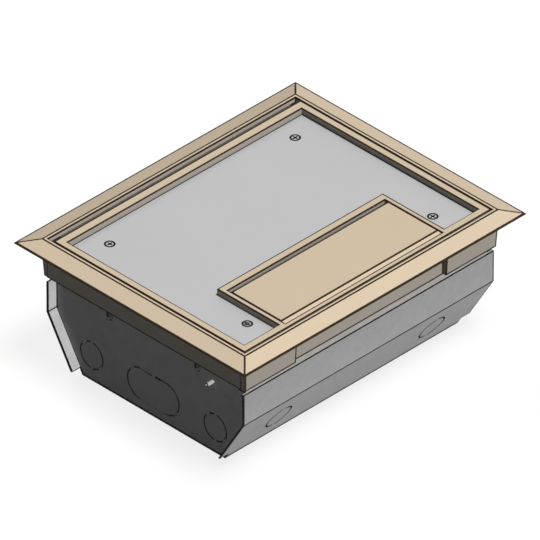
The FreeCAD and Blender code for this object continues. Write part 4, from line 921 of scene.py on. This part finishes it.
class FLOORBOX_OT_steel_box(bpy.types.Operator):
    """Box shell, end plates, corner brackets and earth screw"""

    bl_idname = "floor_box.steel_box"
    bl_label = "Steel box"
    bl_options = {"REGISTER", "UNDO"}

    def execute(self, context):
        edges = context.scene.floor_box_edges
        lines = Lines(edges.shell, edges.sheet, edges.rim, THIN_SHEET, facets=True)
        finishes = ("galvanised_steel", "steel_edge_line", "flange_steel", "inner_steel")
        # The top flanges get the lightened flange steel, which is painted light
        shell = outlined("box_shell", "box_shell_sheet", finishes, lines, top_flange,
                         trim=dress_shell)
        # The far wall's inner face past the end plates gets the lightened inner steel, which is
        # painted light
        past_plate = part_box("box_shell")[1].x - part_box("end_plate_right")[1].x
        line_round(shell, past_plate, far_inside, (0,), finish=INNER)
        lines = lines._replace(open=edges.end_plate, rim=edges.knockout)
        for node in ("end_plate_left", "end_plate_right"):
            outlined(node, node + "_sheet", finishes[:2], lines)
        softened("corner_brackets", "corner_bracket_set", edges.fold)
        outlined("earth_screw", "earth_screw_bolt", ("earth_screw_steel", "steel_edge_line"),
                 Lines(edges.sheet, edges.sheet, edges.recess_rim))
        return {"FINISHED"}


class FLOORBOX_OT_levelling(bpy.types.Operator):
    """Levelling screws with their weld nuts and lock nuts"""

    bl_idname = "floor_box.levelling"
    bl_label = "Levelling gear"
    bl_options = {"REGISTER", "UNDO"}

    def execute(self, context):
        for node in ("levelling_screws", "bracket_weld_nuts", "lock_nuts"):
            wear_node(node)
        return {"FINISHED"}


class FLOORBOX_OT_lid_stiffening(bpy.types.Operator):
    """Channels and nuts under the lid plate"""

    bl_idname = "floor_box.lid_stiffening"
    bl_label = "Lid stiffening"
    bl_options = {"REGISTER", "UNDO"}

    def execute(self, context):
        edges = context.scene.floor_box_edges
        softened("lid_stiffeners", "lid_stiffener_channels", edges.fold)
        wear_node("lid_plate_nuts")
        return {"FINISHED"}


class FLOORBOX_OT_hinges(bpy.types.Operator):
    """Continuous hinges of the lid and of the flap"""

    bl_idname = "floor_box.hinges"
    bl_label = "Hinges"
    bl_options = {"REGISTER", "UNDO"}

    def execute(self, context):
        # The lid hinge gets the lightened steel as painted light and the flap hinge gets the
        # darkened steel as painted shade
        for node in ("lid_hinge_trim_leaf", "lid_hinge_lid_leaf"):
            self.leaf(node, "dark_hinge_steel")
        for node in ("flap_hinge_frame_leaf", "flap_hinge_flap_leaf"):
            self.leaf(node, "flap_hinge_steel")
        for node in ("lid_hinge_pin", "flap_hinge_pin", "trim_leaf_screws", "lid_leaf_screws",
                     "frame_leaf_screws", "flap_leaf_screws"):
            wear_node(node)
        return {"FINISHED"}

    def leaf(self, node, finish):
        """A leaf in a hinge finish, with painted shade on the side of its knuckles that faces the
        opening.
        """
        piece = merged_copy(node, node + "_strip", (finish, "hinge_side"))

        def paint_barrel_shade(face):
            if barrel_painted_shade_side(face):
                face.material_index = LINE
        each_face(piece, paint_barrel_shade)
        each_edge(piece, keep_apart)
        stand_in(piece, node)


class FLOORBOX_OT_seals(bpy.types.Operator):
    """Rubber strips under the lid and the flap"""

    bl_idname = "floor_box.seals"
    bl_label = "Seals"
    bl_options = {"REGISTER", "UNDO"}

    def execute(self, context):
        for node in ("lid_seal", "flap_seal"):
            wear_node(node)
        return {"FINISHED"}


class FLOORBOX_OT_covers(bpy.types.Operator):
    """Covers of the two wiring compartments with their screws"""

    bl_idname = "floor_box.covers"
    bl_label = "Compartment covers"
    bl_options = {"REGISTER", "UNDO"}

    def execute(self, context):
        edges = context.scene.floor_box_edges
        for node in ("power_cover", "data_cover"):
            softened(node, node + "_sheet", edges.fold)
        wear_node("cover_foot_screws")
        # The locating screws get the nearly black zinc, which is painted shade
        wear_node("cover_locating_screws", "dull_zinc")
        return {"FINISHED"}


class FLOORBOX_OT_outlets(bpy.types.Operator):
    """Duplex socket outlets with straps, bodies and screws"""

    bl_idname = "floor_box.outlets"
    bl_label = "Socket outlets"
    bl_options = {"REGISTER", "UNDO"}

    def execute(self, context):
        edges = context.scene.floor_box_edges
        softened("socket_faces", "socket_face_mouldings", edges.fold)
        softened("socket_bodies", "socket_rear_mouldings", edges.moulding)
        for node in ("socket_straps", "socket_terminal_screws", "socket_fixing_screws"):
            wear_node(node)
        return {"FINISHED"}


class FLOORBOX_OT_jacks(bpy.types.Operator):
    """Data jacks with their frames, contacts and screws"""

    bl_idname = "floor_box.jacks"
    bl_label = "Data jacks"
    bl_options = {"REGISTER", "UNDO"}

    def execute(self, context):
        edges = context.scene.floor_box_edges
        softened("jack_frames", "jack_frame_mouldings", edges.fold)
        softened("data_jacks", "data_jack_mouldings", edges.fold)
        for node in ("jack_contacts", "jack_frame_screws"):
            wear_node(node)
        return {"FINISHED"}


# Stage

def backdrop_share(finish):
    """1 for rays that should see the pale background: camera, glossy and clear ones."""
    rays = [finish.node("ShaderNodeLightPath", output=name)
            for name in ("Is Camera Ray", "Is Glossy Ray", "Is Transmission Ray")]
    return (rays[0] + rays[1] + rays[2]).held()


def floor_finish():
    """Pale floor that keeps a soft shadow and throws little light back."""
    finish = Finish("pale_floor")
    speckle = finish.noise(finish.place(), scale=900.0, detail=3.0)
    seen = finish.blend(speckle, *FLOOR_SHADES)
    diffuse = finish.node("ShaderNodeBsdfDiffuse", values={"Color": seen})
    glow = finish.node("ShaderNodeEmission", values={"Strength": FLOOR_GLOW})
    pale = finish.node("ShaderNodeAddShader", values={0: diffuse, 1: glow})
    quiet = finish.node("ShaderNodeBsdfDiffuse", values={"Color": QUIET_FLOOR})
    both = finish.node("ShaderNodeMixShader",
                       values={0: backdrop_share(finish), 1: quiet, 2: pale})
    finish.tree.nodes.remove(finish.shader)
    join(finish.tree, both, finish.tree.nodes["Material Output"].inputs["Surface"])
    return finish.material


class World(Finish):
    """The surroundings, built with the same calls as a material."""

    def __init__(self, name):
        self.material = bpy.data.worlds.new(name)
        self.material.use_nodes = True
        self.tree = self.material.node_tree
        self.shader = self.tree.nodes["Background"]


class FLOORBOX_OT_stage(bpy.types.Operator):
    """Floor, lamps, surroundings and camera"""

    bl_idname = "floor_box.stage"
    bl_label = "Stage"

    def execute(self, context):
        scene = context.scene
        lamps = scene.floor_box_stage
        self.floor()
        for name, (direction, softness, shadows) in LAMPS.items():
            self.lamp(name + "_lamp", direction, softness, getattr(lamps, name), shadows)
        self.surroundings(scene, lamps.fill)
        self.camera(scene)
        scene.view_settings.view_transform = "Standard"
        return {"FINISHED"}

    def floor(self):
        """A wide flat floor just under the box."""
        bpy.ops.object.select_all(action="DESELECT")
        bpy.ops.mesh.primitive_plane_add(size=FLOOR_SIDE,
                                         location=(0.0, 0.0, CAD_LOW.z - FLOOR_GAP))
        floor = bpy.context.object
        floor.name = "pale_floor"
        floor.data.materials.append(floor_finish())

    def lamp(self, name, direction, softness, strength, shadows):
        """A distant lamp that shines from a direction; a fill lamp casts no shadow or glint."""
        data = bpy.data.lights.new(name, "SUN")
        data.energy = strength
        data.angle = math.radians(softness)
        data.use_shadow = shadows
        lamp = bpy.data.objects.new(name, data)
        lamp.rotation_euler = Vector(direction).to_track_quat("Z", "Y").to_euler()
        lamp.visible_glossy = shadows
        bpy.context.scene.collection.objects.link(lamp)

    def surroundings(self, scene, fill):
        """Even weak light, and white for what the camera or a shiny face sees."""
        world = World("pale_surroundings")
        share = backdrop_share(world)
        strength = share * (1.0 - fill) + fill
        join(world.tree, strength, world.shader.inputs["Strength"])
        world.shader.inputs["Color"].default_value = (1.0, 1.0, 1.0, 1.0)
        scene.world = world.material

    def camera(self, scene):
        """A very long lens along the photograph's isometric line of sight."""
        back = Vector((-1.0, -1.0, 1.0)).normalized()
        right = Vector((1.0, -1.0, 0.0)).normalized()
        up = back.cross(right)
        half_view = IMAGE_SIDE * PIXEL / 2
        distance = half_view * LENS / (SENSOR / 2)
        aim = Vector((0.0, 0.0, FLOOR_LEVEL))
        middle = IMAGE_SIDE / 2
        centre = (aim - right * (AIM_PIXEL[0] - middle) * PIXEL
                  + up * (AIM_PIXEL[1] - middle) * PIXEL)
        data = bpy.data.cameras.new("camera")
        data.lens = LENS
        data.sensor_width = SENSOR
        data.clip_start = 1.0
        data.clip_end = 100.0
        camera = bpy.data.objects.new("camera", data)
        turn = Matrix((right, up, back)).transposed().to_4x4()
        camera.matrix_world = Matrix.Translation(centre + back * distance) @ turn
        scene.collection.objects.link(camera)
        scene.camera = camera


STEPS = (FLOORBOX_OT_castings, FLOORBOX_OT_lid_plate, FLOORBOX_OT_steel_box,
         FLOORBOX_OT_levelling, FLOORBOX_OT_lid_stiffening, FLOORBOX_OT_hinges,
         FLOORBOX_OT_seals, FLOORBOX_OT_covers, FLOORBOX_OT_outlets, FLOORBOX_OT_jacks,
         FLOORBOX_OT_stage)
SETTINGS = {"floor_box_edges": FloorBoxEdges, "floor_box_colours": FloorBoxColours,
            "floor_box_stage": FloorBoxStage}


class FLOORBOX_PT_panel(bpy.types.Panel):
    """Steps and settings of the floor box."""

    bl_idname = "FLOORBOX_PT_panel"
    bl_label = "Floor box"
    bl_space_type = "VIEW_3D"
    bl_region_type = "UI"
    bl_category = "Floor box"

    def draw(self, context):
        for name, group in SETTINGS.items():
            for setting in group.__annotations__:
                self.layout.prop(getattr(context.scene, name), setting)
        for step in STEPS:
            self.layout.operator(step.bl_idname)


def register():
    """Register the settings, the steps and the panel."""
    for name, group in SETTINGS.items():
        bpy.utils.register_class(group)
        setattr(bpy.types.Scene, name, PointerProperty(type=group))
    for step in STEPS:
        bpy.utils.register_class(step)
    bpy.utils.register_class(FLOORBOX_PT_panel)


def unregister():
    """Take everything out again."""
    bpy.utils.unregister_class(FLOORBOX_PT_panel)
    for step in reversed(STEPS):
        bpy.utils.unregister_class(step)
    for name, group in reversed(SETTINGS.items()):
        delattr(bpy.types.Scene, name)
        bpy.utils.unregister_class(group)


def main():
    """Register the steps and run them, which dresses the box and sets the stage."""
    register()
    for step in STEPS:
        group, name = step.bl_idname.split(".")
        getattr(getattr(bpy.ops, group), name)()


if __name__ == "__main__":
    main()
